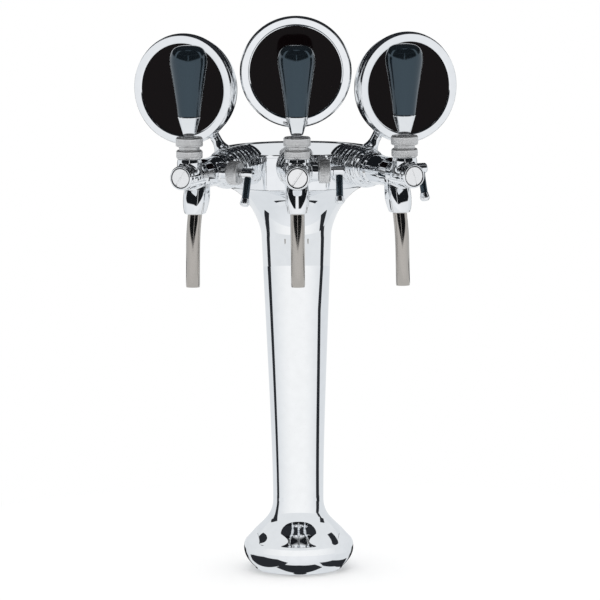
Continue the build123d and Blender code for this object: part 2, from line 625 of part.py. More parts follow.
def make_piston():
    """Valve piston: slotted guide block, stem and grooved head that closes the throat."""
    guide, head = CHAMBER_R - SLIP, THROAT_R - SLIP
    front, back = PISTON_HEAD_FRONT, PISTON_HEAD_BACK
    groove = head - PISTON_SEAL_DEPTH
    piston = turned_x([
        (back, 0), (back, head - 0.8), (back + 0.8, head), (PISTON_SEAL_BACK, head),
        (PISTON_SEAL_BACK, groove), (PISTON_SEAL_FRONT, groove), (PISTON_SEAL_FRONT, head), (front, head),
        (front + 1, PISTON_STEM_R), (-PISTON_GUIDE_HALF, PISTON_STEM_R), (-PISTON_GUIDE_HALF, guide),
        (PISTON_GUIDE_HALF, guide), (PISTON_GUIDE_HALF, 0),
    ])
    room = 2 * (LEVER_TIP_R + 0.8)
    piston -= Box(room, room, 2 * guide + 2)
    channel = Box(2 * PISTON_GUIDE_HALF + 1, 5, 6)
    for side in (-1, 1):
        piston -= Pos(0, side * guide, -guide) * channel
    return piston


def make_piston_seal():
    """Rubber ring in the groove of the piston's head."""
    outer, inner = THROAT_R - SLIP / 2, THROAT_R - SLIP - PISTON_SEAL_DEPTH
    return ring_x(outer, inner + SEAT_GAP / 2, PISTON_SEAL_BACK + SEAT_GAP, PISTON_SEAL_FRONT - SEAT_GAP)


def make_compensator():
    """Flow cone that slides in its tapered bore, cross-slotted for the eccentric pin."""
    slope = (REAR_CHAMBER_R - CONE_BORE_END_R) / (CONE_BORE_START - CONE_BORE_END)
    front_r = REAR_CHAMBER_R - CONE_GAP
    knee = CONE_BORE_START
    back_r = CONE_BORE_END_R + (CONE_BACK - CONE_BORE_END) * slope - CONE_GAP
    cone = turned_x([
        (CONE_BACK, 0), (CONE_BACK, back_r - 1), (CONE_BACK + 1, back_r), (knee, front_r),
        (CONE_FRONT, front_r - 0.4), (CONE_FRONT, 0),
    ])
    room = ECCENTRIC_PIN_R + ECCENTRIC_PLAY
    slot = Box(2 * room, REAR_CHAMBER_R, 2 * (ECCENTRIC + room + LOOSE),
               align=(Align.CENTER, Align.MIN, Align.CENTER))
    return cone - Pos(FLOW_X, ECCENTRIC_PIN_START - LOOSE, 0) * slot


def make_flow_nut():
    """Knurled packing nut round the flow spindle."""
    bore = FLOW_SPINDLE_R + SLIP
    return Pos(FLOW_X, 0, 0) * turned_y([
        (FLOW_BOSS_END, bore), (FLOW_BOSS_END, FLOW_NUT_R - 1.0), (FLOW_BOSS_END + 1.0, FLOW_NUT_R),
        (FLOW_NUT_END - 1.4, FLOW_NUT_R), (FLOW_NUT_END, FLOW_NUT_R - 1.4), (FLOW_NUT_END, bore),
    ])


def make_flow_lever():
    """Flow spindle with its eccentric pin, hub and hanging rod."""
    inside, neck = REAR_CHAMBER_R + 0.6, FLOW_NUT_END + LOOSE
    lever = rod_y(FLOW_SPINDLE_R, inside, FLOW_HUB_START)
    lever += Pos(0, 0, -ECCENTRIC) * rod_y(ECCENTRIC_PIN_R, ECCENTRIC_PIN_START, inside)
    lever += turned_y([
        (neck, 0), (neck, FLOW_SPINDLE_R + 1.0), (FLOW_HUB_START, FLOW_HUB_R),
        (FLOW_HUB_END - 1.2, FLOW_HUB_R), (FLOW_HUB_END, FLOW_HUB_R - 1.2), (FLOW_HUB_END, 0),
    ])
    tip, length = FLOW_ROD_END_R, FLOW_ROD_LENGTH
    rod = turned_z([
        (0, 0), (FLOW_ROD_R, 0), (FLOW_ROD_R, length - 9), (tip, length - 3), (tip, length - 2),
        (tip - 2, length), (0, length),
    ])
    middle = (FLOW_HUB_START + FLOW_HUB_END) / 2
    lever += Pos(0, middle, 0) * Rot(0, 180 - FLOW_ROD_LEAN, 0) * rod
    return Pos(FLOW_X, 0, 0) * lever


# ---------------------------------------------------------------- a medallion, stem along z
def stem_top(side):
    """Height of the housing's rim above the boss's axis."""
    return STEM_TOP_SIDE if SIDES[side] else STEM_TOP_MIDDLE


def disc_place(side):
    """Centre of the disc in the medallion's frame."""
    return Pos(0, 0, stem_top(side) + HOUSING_R)


def make_stem(side):
    """Chromed stem: spigot in the boss, flared foot, tube up into the housing's rim."""
    foot, top = BOSS_R - 0.8, stem_top(side)
    return turned_z([
        (0, foot - 7), (STEM_SPIGOT_R, foot - 7), (STEM_SPIGOT_R, foot), (STEM_FOOT_R, foot),
        (STEM_FOOT_R, foot + 1.0), (STEM_R + 1.2, foot + 4.0), (STEM_R, foot + 8.0), (STEM_R, top),
        (STEM_SPIGOT_R, top), (STEM_SPIGOT_R, top + HOUSING_WALL + 2), (0, top + HOUSING_WALL + 2),
    ])


def make_housing(side):
    """Cup behind the disc, with a rounded back and a hole in its rim for the stem."""
    back, front = HOUSING_BACK, BEZEL_FRONT - FACE_THICK - FACE_SUNK
    inner = HOUSING_R - HOUSING_WALL
    cup = turned_x([
        (back, 0), (back, HOUSING_R - 8), (back + 2.3, HOUSING_R - 2.3), (back + 8, HOUSING_R),
        (front, HOUSING_R), (front, inner), (back + 8, inner), (back + 3.8, inner - 2.2),
        (back + HOUSING_WALL, HOUSING_R - 9), (back + HOUSING_WALL, 0),
    ])
    cup = disc_place(side) * cup
    flat = stem_top(side)
    cup -= rod_z(STEM_R + SEAT_GAP, flat - 5, flat)
    return cup - rod_z(STEM_SPIGOT_R + SEAT_GAP, flat - 5, flat + HOUSING_WALL + 5)


def make_bezel(side):
    """Broad rounded bezel that clips over the housing and holds the face."""
    front, back, face_back = BEZEL_FRONT, BEZEL_FRONT - BEZEL_DEPTH, BEZEL_FRONT - FACE_SUNK
    grip_r, outer = HOUSING_R + SEAT_GAP, HOUSING_R + BEZEL_LAP
    opening = outer - BEZEL_BROAD
    return disc_place(side) * turned_x([
        (back, grip_r), (back, outer - 1.2), (back + 1.5, outer - 0.2), (back + 4.5, outer),
        (front - 2.6, outer - 1.0), (front - 0.8, outer - 3.0), (front, outer - 5.6),
        (front - 0.3, opening + 1.6), (front - 1.6, opening), (face_back, opening), (face_back, grip_r),
    ])


def make_face_disc(side):
    """Black glass disc of the medallion, left bare."""
    front = BEZEL_FRONT - FACE_SUNK
    return disc_place(side) * rod_x(HOUSING_R - LOOSE, front - FACE_THICK, front)


def make_led_board(side):
    """Round board with the lamps that light the face, on three standoffs in the housing."""
    floor, radius = HOUSING_BACK + HOUSING_WALL, HOUSING_R - HOUSING_WALL - LED_BOARD_GAP
    start = floor + 5.0
    board = rod_x(radius, start, start + LED_BOARD_THICK)
    for turn in (90, 210, 330):
        post = rod_x(3.0, floor, start)
        spread = radius - 8
        board += Pos(0, spread * cos(radians(turn)), spread * sin(radians(turn))) * post
    return disc_place(side) * board


# ---------------------------------------------------------------- lines inside the column
def tube_along(points, radii, outer, inner):
    """Tube that follows straight runs joined by arcs."""
    route = FilletPolyline(*points, radius=radii)
    section = Plane(route @ 0, z_dir=route % 0)
    return sweep(section * Circle(outer), path=route) - sweep(section * Circle(inner), path=route)


def make_beer_line(side):
    """Beer line from a shank's tail down through the column."""
    turn = SIDES[side]
    place = tap_place(side)
    tail = BOSS_FRONT - BOSS_LENGTH - SHANK_TAIL
    start = (place * Pos(tail, 0, 0)).position
    knee = (place * Pos(tail - 15, 0, 0)).position
    angle = radians(90 if turn == 0 else -30 if turn > 0 else 210)
    low = Vector(LINE_RING_R * cos(angle), LINE_RING_R * sin(angle), SHAFT_Z + 30)
    foot = Vector(low.X, low.Y, FOOT_GASKET_THICK)
    return tube_along([start, knee, low, foot], [11, 20], BEER_LINE_R, BEER_LINE_R - LINE_WALL)


def make_coolant_line():
    """Loop of tube that carries chilled water up and down beside the beer lines."""
    top = COOLANT_TOP_Z + COOLANT_SIDE
    points = [
        (-COOLANT_SIDE, COOLANT_BACK, FOOT_GASKET_THICK), (-COOLANT_SIDE, COOLANT_BACK, top),
        (COOLANT_SIDE, COOLANT_BACK, top), (COOLANT_SIDE, COOLANT_BACK, FOOT_GASKET_THICK),
    ]
    radius = COOLANT_SIDE - 0.5
    return tube_along(points, [radius, radius], COOLANT_LINE_R, COOLANT_LINE_R - LINE_WALL)


# ---------------------------------------------------------------- the whole tower
def all_pieces():
    """Every node of the tower by name."""
    pieces = {
        "column_shell": make_column_shell(),
        "head_lid": make_head_lid(),
        "anchor_plate": make_anchor_plate(),
        "foot_gasket": make_foot_gasket(),
        "plate_screws": make_plate_screws(),
        "coolant_line": make_coolant_line(),
        "beer_lines": Compound(children=[make_beer_line(side) for side in SIDES]),
        "shank_nuts": on_each_side(make_shank_nut()),
        "inlet_seals": on_each_side(make_inlet_seal()),
        "coupling_rings": on_each_side(make_coupling_ring()),
        "front_caps": on_each_side(make_front_cap()),
        "cap_seals": on_each_side(make_cap_seal()),
        "bonnet_rings": on_each_side(make_bonnet_ring()),
        "ball_seats": on_each_side(make_ball_seat()),
        "collar_nuts": on_each_side(make_collar_nut()),
        "flow_nuts": on_each_side(make_flow_nut()),
        "led_boards": Compound(children=[medallion_place(side) * make_led_board(side) for side in SIDES]),
        "stem_lock_screws": on_each_side(lock_screw(), lock_screw_place),
    }
    tap_pieces = {
        "shank": make_shank(), "tap_body": make_tap_body(), "spout": make_spout(),
        "tap_lever": make_tap_lever(), "ferrule": make_ferrule(), "grip": make_grip(),
        "valve_piston": make_piston(), "piston_seal": make_piston_seal(),
        "compensator": make_compensator(), "flow_lever": make_flow_lever(),
    }
    medallion_makers = {
        "medallion_stem": make_stem, "medallion_housing": make_housing,
        "medallion_bezel": make_bezel, "medallion_face": make_face_disc,
    }
    for side in SIDES:
        for name, shape in tap_pieces.items():
            pieces[f"{name}_{side}"] = tap_place(side) * shape
        for name, make in medallion_makers.items():
            pieces[f"{name}_{side}"] = medallion_place(side) * make(side)
    return pieces


for node, solid in all_pieces().items():
    export_step(solid, f"parts/{node}.step")
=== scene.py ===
"""Dressed visual model of a three-tap beer tower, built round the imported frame."""
import logging
import math
from collections.abc import Callable
from dataclasses import dataclass
from enum import Enum

import bmesh
import bpy
import numpy as np
from mathutils import Matrix


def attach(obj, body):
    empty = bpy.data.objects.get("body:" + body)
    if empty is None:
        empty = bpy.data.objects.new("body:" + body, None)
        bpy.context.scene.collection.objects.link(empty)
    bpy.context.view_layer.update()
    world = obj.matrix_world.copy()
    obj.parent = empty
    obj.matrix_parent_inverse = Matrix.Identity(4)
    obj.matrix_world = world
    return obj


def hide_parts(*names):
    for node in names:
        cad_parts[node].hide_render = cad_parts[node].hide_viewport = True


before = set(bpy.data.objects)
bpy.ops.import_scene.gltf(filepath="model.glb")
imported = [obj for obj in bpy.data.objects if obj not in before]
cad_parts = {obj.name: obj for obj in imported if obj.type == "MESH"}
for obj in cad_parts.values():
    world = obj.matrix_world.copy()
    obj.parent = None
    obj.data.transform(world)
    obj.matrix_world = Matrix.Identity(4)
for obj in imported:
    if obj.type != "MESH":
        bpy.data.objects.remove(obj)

LOG = logging.getLogger("beer_tower")
MM = 0.001
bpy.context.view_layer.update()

Array = np.ndarray
Pair = tuple[float, float]
Point = tuple[float, float, float]
Relief = Callable[[Array, Array, Array], Array]
Distance = Callable[[Array], Array]


class Side(Enum):
    """The three taps, as seen from the front, with the sign of their sideways place."""

    LEFT = -1
    MIDDLE = 0
    RIGHT = 1

    @property
    def word(self) -> str:
        """Ending of this side's node and piece names."""
        return self.name.lower()


# ---------------------------------------------------------------- frames and outlines
@dataclass(frozen=True)
class Place:
    """A right-handed frame in millimetres: an origin and the directions of its three axes."""

    origin: Point = (0.0, 0.0, 0.0)
    axes: tuple[Point, Point, Point] = ((1, 0, 0), (0, 1, 0), (0, 0, 1))

    def world(self, points: Array) -> Array:
        """Points of this frame in the tower's: the origin plus each coordinate along its axis."""
        return np.asarray(points, float) @ np.array(self.axes, float) + np.array(self.origin, float)

    def local(self, points: Array) -> Array:
        """Points of the tower's frame in this one: their offset from the origin along each axis."""
        return (points - np.array(self.origin)) @ np.array(self.axes, float).T

    def moved(self, x: float = 0.0, y: float = 0.0, z: float = 0.0) -> "Place":
        """The same directions with the origin moved along them."""
        return Place(tuple(self.world([x, y, z])), self.axes)

    def along_x(self) -> "Place":
        """A frame at the same origin whose z runs along this frame's x axis."""
        x, y, z = self.axes
        return Place(self.origin, (y, z, x))

    def along_y(self) -> "Place":
        """A frame at the same origin whose z runs along this frame's y axis."""
        x, y, z = self.axes
        return Place(self.origin, (z, x, y))

    def leaned(self, degrees: float) -> "Place":
        """The frame turned about its own y axis, so that z leans towards x.

        Args:
            degrees: how far it turns.

        Returns:
            The frame with x turned to cos x - sin z, and z to sin x + cos z.
        """
        x, y, z = (np.array(a, float) for a in self.axes)
        c, s = math.cos(math.radians(degrees)), math.sin(math.radians(degrees))
        return Place(self.origin, (tuple(c * x - s * z), tuple(y), tuple(s * x + c * z)))


def rounded(points: list[Point], steps: int = 5, most: float = 0.48) -> Array:
    """Outline whose corners are rounded.

    Each corner (a, b, radius) is replaced by a quadratic curve between the points a distance of
    radius before and after it.

    Args:
        points: rows of two coordinates and the corner's radius.
        steps: points along each rounded corner.
        most: share of a side that one corner may take.

    Returns:
        An array of two columns.
    """
    raw = np.array(points, float)
    xy, radius = raw[:, :2], raw[:, 2]
    out = [xy[:1]]
    for i in range(1, len(raw) - 1):
        before, after = xy[i - 1] - xy[i], xy[i + 1] - xy[i]
        la, lb = np.linalg.norm(before), np.linalg.norm(after)
        r = min(radius[i], most * la, most * lb)
        if r <= 0:
            out.append(xy[i:i + 1])
            continue
        a, b = xy[i] + before / la * r, xy[i] + after / lb * r
        t = np.linspace(0, 1, steps)[:, None]
        out.append((1 - t) ** 2 * a + 2 * t * (1 - t) * xy[i] + t ** 2 * b)
    out.append(xy[-1:])
    return np.concatenate(out)


def bezier(a: Pair, b: Pair, c: Pair, d: Pair, steps: int) -> Array:
    """Cubic curve: the four control points weighted by the Bernstein polynomials of t.

    Args:
        a: start.
        b: point that the curve leaves towards.
        c: point that the curve arrives from.
        d: end.
        steps: points along the curve.

    Returns:
        An array of two columns.
    """
    t = np.linspace(0, 1, steps)[:, None]
    a, b, c, d = (np.array(p, float) for p in (a, b, c, d))
    return (1 - t) ** 3 * a + 3 * t * (1 - t) ** 2 * b + 3 * t ** 2 * (1 - t) * c + t ** 3 * d


def bend(start: Pair, way: Pair, pull: float, end: Pair, end_way: Pair, end_pull: float,
         steps: int) -> Array:
    """Cubic curve whose inner control points lie a pull along the direction at each end.

    Args:
        start: first point.
        way: direction in which the curve leaves it.
        pull: how far it keeps to that direction.
        end: last point.
        end_way: direction in which the curve arrives there.
        end_pull: how far before the end it takes that direction.
        steps: points along the curve.

    Returns:
        An array of two columns.
    """
    w = np.array(way, float) / np.linalg.norm(way)
    v = np.array(end_way, float) / np.linalg.norm(end_way)
    first, last = np.array(start) + w * pull, np.array(end) - v * end_pull
    return bezier(start, first, last, end, steps)


def dense(outline: Array, step: float = 0.5) -> Array:
    """Closed outline with points no further apart than a step, for a relief to bite on.

    Args:
        outline: array of two columns, whose last point joins the first.
        step: longest distance between two points.

    Returns:
        The outline with points spread evenly along each side.
    """
    closed = np.concatenate([outline, outline[:1]])
    parts = []
    for a, b in zip(closed[:-1], closed[1:]):
        n = max(int(np.ceil(np.linalg.norm(b - a) / step)), 1)
        parts.append(a + (b - a) * (np.arange(n) / n)[:, None])
    return np.concatenate(parts)


def knurl(low: float, high: float, teeth: int = 78, depth: float = 0.28, fade: float = 0.5) -> Relief:
    """Straight knurl between two heights: a wave of the angle, faded out at both ends.

    Args:
        low: height where it starts.
        high: height where it ends.
        teeth: waves round the piece.
        depth: millimetres between a tooth's crest and its root.
        fade: height over which the teeth run out at each end.

    Returns:
        Relief for a turned piece.
    """
    def carve(r: Array, h: Array, a: Array) -> Array:
        """Radius less half a wave of depth where the height is inside the band."""
        band = np.clip((h - low) / fade, 0, 1) * np.clip((high - h) / fade, 0, 1)
        return r - depth * band * (0.5 + 0.5 * np.cos(teeth * a))
    return carve


# ---------------------------------------------------------------- surfaces
def faces_mesh(name: str, verts: Array, quads: Array) -> bpy.types.Object:
    """Object from vertex places and four-sided faces, with doubles merged and faces outwards.

    Args:
        name: name of the piece.
        verts: array (points, 3) in metres.
        quads: array (faces, 4) of vertex numbers.

    Returns:
        The new object.
    """
    mesh = bpy.data.meshes.new(name)
    mesh.vertices.add(len(verts))
    mesh.vertices.foreach_set("co", np.ascontiguousarray(verts, np.float32).ravel())
    mesh.loops.add(quads.size)
    mesh.loops.foreach_set("vertex_index", np.ascontiguousarray(quads, np.int32).ravel())
    mesh.polygons.add(len(quads))
    mesh.polygons.foreach_set("loop_start", np.arange(len(quads), dtype=np.int32) * 4)
    mesh.update(calc_edges=True)
    mesh.validate()
    work = bmesh.new()
    work.from_mesh(mesh)
    bmesh.ops.remove_doubles(work, verts=work.verts, dist=1e-7)
    bmesh.ops.recalc_face_normals(work, faces=work.faces)
    work.to_mesh(mesh)
    work.free()
    mesh.shade_smooth()
    obj = bpy.data.objects.new(name, mesh)
    bpy.context.scene.collection.objects.link(obj)
    return obj


def grid_mesh(name: str, rows: Array, ring: bool = True, loop: bool = False) -> bpy.types.Object:
    """Object from a grid of points: each four neighbours make one face.

    Args:
        name: name of the piece.
        rows: array (rows, columns, 3) in metres.
        ring: the last column joins the first.
        loop: the last row joins the first.

    Returns:
        The new object, merged at its poles, with its faces pointing outwards.
    """
    n, m = rows.shape[:2]
    i = np.arange(n if loop else n - 1)
    j = np.arange(m if ring else m - 1)
    ii, jj = np.meshgrid(i, j, indexing="ij")
    i2, j2 = (ii + 1) % n, (jj + 1) % m
    quads = np.stack([ii * m + jj, ii * m + j2, i2 * m + j2, i2 * m + jj], -1).reshape(-1, 4)
    return faces_mesh(name, rows.reshape(-1, 3), quads)


def mesh_points(obj: bpy.types.Object) -> Array:
    """Vertices of a new piece: its mesh's places divided by a millimetre.

    Args:
        obj: the piece.

    Returns:
        An array (points, 3) in millimetres.
    """
    points = np.zeros(len(obj.data.vertices) * 3, np.float32)
    obj.data.vertices.foreach_get("co", points)
    return points.reshape(-1, 3) / MM


def weigh(obj: bpy.types.Object) -> None:
    """Shading normals weighted by face area, so that flats stay flat beside small roundings."""
    modifier = obj.modifiers.new("weighted_normals", "WEIGHTED_NORMAL")
    modifier.keep_sharp = True


def turned(name: str, place: Place, outline: Array, segments: int = 128, loop: bool = False,
           relief: Relief | None = None) -> bpy.types.Object:
    """Turned piece: every outline point (radius, height) goes round the place's z axis.

    Point = (r cos a, r sin a, h), with r changed by relief(r, h, a) where a relief is given.

    Args:
        name: name of the piece.
        place: frame whose z axis the piece turns about.
        outline: array of radius and height in millimetres.
        segments: faces round the piece.
        loop: the outline closes on itself, as for a ring.
        relief: function of radius, height and angle grids that returns the carved radius.

    Returns:
        The new object.
    """
    angle = np.arange(segments) * (2 * math.pi / segments)
    r, h, a = outline[:, :1] + 0 * angle, outline[:, 1:2] + 0 * angle, angle + 0 * outline[:, :1]
    if relief is not None:
        r = relief(r, h, a)
    rows = place.world(np.stack([r * np.cos(a), r * np.sin(a), h], -1)) * MM
    obj = grid_mesh(name, rows, ring=True, loop=loop)
    weigh(obj)
    return obj


def swept(name: str, place: Place, path: Array, outer: Array, inner: Array,
          segments: int = 96) -> bpy.types.Object:
    """Round tube in the place's xz plane along a path: two circles across each of its points.

    Args:
        name: name of the piece.
        place: frame that the path lies in.
        path: array of x and z.
        outer: radius at each path point.
        inner: bore radius at each point.
        segments: faces round the tube.

    Returns:
        The new object.
    """
    way = np.gradient(path, axis=0)
    way /= np.linalg.norm(way, axis=1)[:, None]
    across = np.stack([way[:, 1], -way[:, 0]], -1)
    angle = np.arange(segments) * (2 * math.pi / segments)

    def skin(radius: Array) -> Array:
        """Circles across the path: point + across r cos a in the plane, and r sin a beside it.

        Args:
            radius: the circle's radius at each path point.

        Returns:
            An array (path points, segments, 3).
        """
        c, s = np.cos(angle)[None, :, None], np.sin(angle)[None, :, None]
        r = np.asarray(radius, float)[:, None, None]
        flat = path[:, None, :] + across[:, None, :] * r * c
        return np.concatenate([flat[..., :1], r * s, flat[..., 1:]], -1)

    rows = np.concatenate([skin(outer), skin(inner)[::-1]])
    obj = grid_mesh(name, place.world(rows) * MM, ring=True, loop=True)
    weigh(obj)
    return obj


def smooth_min(a: Array, b: Array, blend: float) -> Array:
    """Smaller of two distances, with the corner between them filled over a width of blend."""
    h = np.clip(0.5 + 0.5 * (b - a) / blend, 0, 1)
    return b + (a - b) * h - blend * h * (1 - h)


def smooth_max(a: Array, b: Array, blend: float) -> Array:
    """Larger of two distances, with the edge between them rounded over a width of blend."""
    return -smooth_min(-a, -b, blend)


def slope(distance: Distance, points: Array, reach: float = 0.02) -> Array:
    """Direction in which a distance grows: its change between a reach before and after each point.

    Args:
        distance: function of an array (..., 3) that gives millimetres.
        points: array (points, 3).
        reach: how far from the point the distance is felt, along each axis.

    Returns:
        An array of unit vectors.
    """
    grown = [distance(points + reach * e) - distance(points - reach * e) for e in np.eye(3)]
    way = np.stack(grown, -1)
    return way / np.maximum(np.linalg.norm(way, axis=-1, keepdims=True), 1e-9)


def crossing_faces(inside: Array, number: Array) -> Array:
    """Faces of a cast surface: one round each grid edge whose ends lie on different sides.

    Args:
        inside: for each grid corner, whether it lies inside.
        number: for each cell, the number of its vertex, or -1.

    Returns:
        Rows of the vertex numbers of the four cells round such an edge.
    """
    quads = []
    for axis in range(3):
        lower = np.take(inside, np.arange(inside.shape[axis] - 1), axis)
        upper = np.take(inside, np.arange(1, inside.shape[axis]), axis)
        cross = np.argwhere(lower != upper)
        b, c = (axis + 1) % 3, (axis + 2) % 3
        cross = cross[(cross[:, b] > 0) & (cross[:, c] > 0)]
        leaving = lower[tuple(cross.T)]
        ring = []
        for db, dc in ((0, 0), (-1, 0), (-1, -1), (0, -1)):
            cell = cross.copy()
            cell[:, b] += db
            cell[:, c] += dc
            ring.append(number[tuple(cell.T)])
        quad = np.stack(ring, -1)
        quad[~leaving] = quad[~leaving][:, ::-1]
        quads.append(quad)
    quads = np.concatenate(quads)
    return quads[(quads >= 0).all(1)]


def cast(name: str, place: Place, distance: Distance, low: Point, high: Point, pitch: float,
         steps: int = 4) -> bpy.types.Object:
    """Cast piece: the surface where a distance function is nought.

    Every cell of a cubic grid whose corners lie on both sides gets one vertex, which a few steps
    down the distance's slope put on the surface, and every grid edge that crosses it gets one face.

    Args:
        name: name of the piece.
        place: frame of the distance function.
        distance: function of an array (..., 3) that gives millimetres, negative inside.
        low: lowest corner of the grid.
        high: highest corner of the grid.
        pitch: size of a cell.
        steps: steps down the slope.

    Returns:
        The new object, shaded by the slope of the distance.
    """
    axes = [np.arange(a, b + pitch, pitch) for a, b in zip(low, high)]
    inside = distance(np.stack(np.meshgrid(*axes, indexing="ij"), -1)) < 0
    corners = sum(inside[i:i - 1 or None, j:j - 1 or None, k:k - 1 or None].astype(np.int8)
                  for i in (0, 1) for j in (0, 1) for k in (0, 1))
    cells = (corners > 0) & (corners < 8)
    number = np.full(cells.shape, -1)
    number[cells] = np.arange(cells.sum())
    verts = np.array(low) + (np.argwhere(cells) + 0.5) * pitch
    for _ in range(steps):
        verts = verts - np.clip(distance(verts), -pitch, pitch)[:, None] * slope(distance, verts)
    obj = faces_mesh(name, place.world(verts) * MM, crossing_faces(inside, number))
    normals = slope(distance, place.local(mesh_points(obj))) @ np.array(place.axes, float)
    obj.data.normals_split_custom_set_from_vertices(normals.astype(np.float32))
    return obj


# ---------------------------------------------------------------- finishes
def linear(code: str) -> tuple[float, float, float, float]:
    """Linear colour with alpha of an sRGB hex code such as "C0C4C8".

    Args:
        code: two hex digits each for red, green and blue.

    Returns:
        Linear red, green and blue by the sRGB curve, and 1 for alpha.
    """
    values = np.array([int(code[i:i + 2], 16) for i in (0, 2, 4)]) / 255
    values = np.where(values <= 0.04045, values / 12.92, ((values + 0.055) / 1.055) ** 2.4)
    return (*values.tolist(), 1.0)


def empty_tree(owner: bpy.types.Material | bpy.types.World) -> bpy.types.NodeTree:
    """The node tree of a new material or world, with nothing in it.

    Args:
        owner: the material or world.

    Returns:
        Its node tree.
    """
    owner.use_nodes = True
    owner.node_tree.nodes.clear()
    return owner.node_tree


def add(tree: bpy.types.NodeTree, kind: str, settings: dict | None = None,
        links: dict | None = None) -> bpy.types.Node:
    """One node with its settings and links.

    Args:
        tree: the node tree.
        kind: type name of the node.
        settings: attribute names, or input sockets as "in:NAME" or "in:INDEX", with their values.
        links: input socket name or index with the output socket it takes.

    Returns:
        The new node.
    """
    node = tree.nodes.new(kind)
    for key, value in (settings or {}).items():
        if key.startswith("in:"):
            socket = key[3:]
            node.inputs[int(socket) if socket.isdigit() else socket].default_value = value
        else:
            setattr(node, key, value)
    for key, source in (links or {}).items():
        tree.links.new(source, node.inputs[key])
    return node


class Grain(Enum):
    """How a finish's fine surface runs, as its noise's scale along x, y and z."""

    EVEN = (1.0, 1.0, 1.0)
    DRAWN = (1.0, 1.0, 0.04)


@dataclass(frozen=True)
class Finish:
    """One finish of the tower: its colour, gloss and fine surface."""

    name: str
    colour: str
    slot: str
    metallic: float = 0.0
    roughness: float = 0.3
    spread: float = 0.03          # how far smudges change the roughness
    grain: Grain = Grain.EVEN
    grain_mm: float = 0.4         # size of the fine grain
    depth_mm: float = 0.01
    ior: float = 1.45
    specular: float = 0.5
    shine: str = "FFFFFF"         # colour of the gloss on a finish that isn't metal
    smudge_mm: float = 45.0       # size of the smudges that hands and cloths leave
    relief: float = 0.6           # share of its depth that the grain shows
    tint: float = 0.08            # how far the grain darkens the colour

    def material(self) -> bpy.types.Material:
        """The finish as a material, made once and shared.

        The grain's noise lifts the surface and darkens the colour a little, and a wide noise of
        smudges moves the roughness by the spread to both sides.

        Returns:
            The material of this finish's name.
        """
        found = bpy.data.materials.get(self.name)
        if found:
            return found
        material = bpy.data.materials.new(self.name)
        tree = empty_tree(material)
        where = add(tree, "ShaderNodeTexCoord")
        shader = add(tree, "ShaderNodeBsdfPrincipled", {
            "in:Base Color": linear(self.colour), "in:Metallic": self.metallic,
            "in:Roughness": self.roughness,
        })
        if not self.metallic:
            shader.inputs["IOR"].default_value = self.ior
            shader.inputs["Specular IOR Level"].default_value = self.specular
            shader.inputs["Specular Tint"].default_value = linear(self.shine)
        mapping = add(tree, "ShaderNodeMapping", {"in:Scale": self.grain.value},
                      {"Vector": where.outputs["Object"]})
        smudge = add(tree, "ShaderNodeTexNoise", {"in:Scale": 1 / (self.smudge_mm * MM), "in:Detail": 4.0},
                     {"Vector": where.outputs["Object"]})
        fine = add(tree, "ShaderNodeTexNoise", {"in:Scale": 1 / (self.grain_mm * MM), "in:Detail": 2.0},
                   {"Vector": mapping.outputs["Vector"]})
        gloss = add(tree, "ShaderNodeMapRange", {
            "in:From Min": 0.3, "in:From Max": 0.7,
            "in:To Min": max(self.roughness - self.spread, 0.0), "in:To Max": self.roughness + self.spread,
        }, {"Value": smudge.outputs["Fac"]})
        bump = add(tree, "ShaderNodeBump", {"in:Strength": self.relief, "in:Distance": self.depth_mm * MM},
                   {"Height": fine.outputs["Fac"]})
        shade = add(tree, "ShaderNodeMixRGB", {
            "blend_type": "MULTIPLY", "in:Fac": self.tint, "in:Color1": linear(self.colour),
        }, {"Color2": fine.outputs["Fac"]})
        tree.links.new(gloss.outputs["Result"], shader.inputs["Roughness"])
        tree.links.new(bump.outputs["Normal"], shader.inputs["Normal"])
        tree.links.new(shade.outputs["Color"], shader.inputs["Base Color"])
        add(tree, "ShaderNodeOutputMaterial", {}, {"Surface": shader.outputs["BSDF"]})
        return material


# Blasted, brushed, drawn and turned grains are drawn 0.35 to 0.6 mm across, which is coarser than
# real ones, so that they show.

# Bright nickel-chrome plate on a cast and buffed ground: a mirror with faint smudges and waves.
CHROME = Finish("plated_chrome_buffed", "F6F8FA", "polished_chrome", metallic=1.0, roughness=0.025,
                spread=0.01, grain_mm=8.0, depth_mm=0.0006)
# The same plate over a knurl or a blasted ground: it spreads the light to a pale grey.
SATIN_CHROME = Finish("plated_chrome_blasted", "E2E2E2", "knurled_chrome", metallic=1.0,
                      roughness=0.45, spread=0.05, grain_mm=0.5, depth_mm=0.05)
# The cap's face, brushed after plating: nearly white, with a soft sheen.
BRUSHED_CHROME = Finish("plated_chrome_brushed", "F6F6F6", "polished_chrome", metallic=1.0,
                        roughness=0.12, depth_mm=0.002)
# Drawn stainless tube: darker and warmer than chrome, with fine lines along its length.
STAINLESS = Finish("stainless_tube_drawn", "BCB7B1", "stainless_tube", metallic=1.0, roughness=0.09,
                   grain=Grain.DRAWN, grain_mm=0.35, depth_mm=0.002)
# Turned steel of the inner fixings.
STEEL = Finish("turned_steel", "A9AAAC", "steel_parts", metallic=1.0, spread=0.06, grain_mm=0.6,
               depth_mm=0.02)
# Moulded phenolic handle: a deep blue-black under a hard gloss.
BAKELITE = Finish("phenolic_moulded_gloss", "12171B", "black_handle", roughness=0.13, spread=0.04,
                  grain_mm=1.2, depth_mm=0.002, ior=1.95, shine="B4D2E6")
# Toughened glass printed black from behind: flat and nearly black, with a faint reflection.
BLACK_GLASS = Finish("black_backed_glass", "0B0607", "black_glass", roughness=0.05, spread=0.01,
                     grain_mm=8.0, depth_mm=0.0005, ior=1.52, specular=0.08)
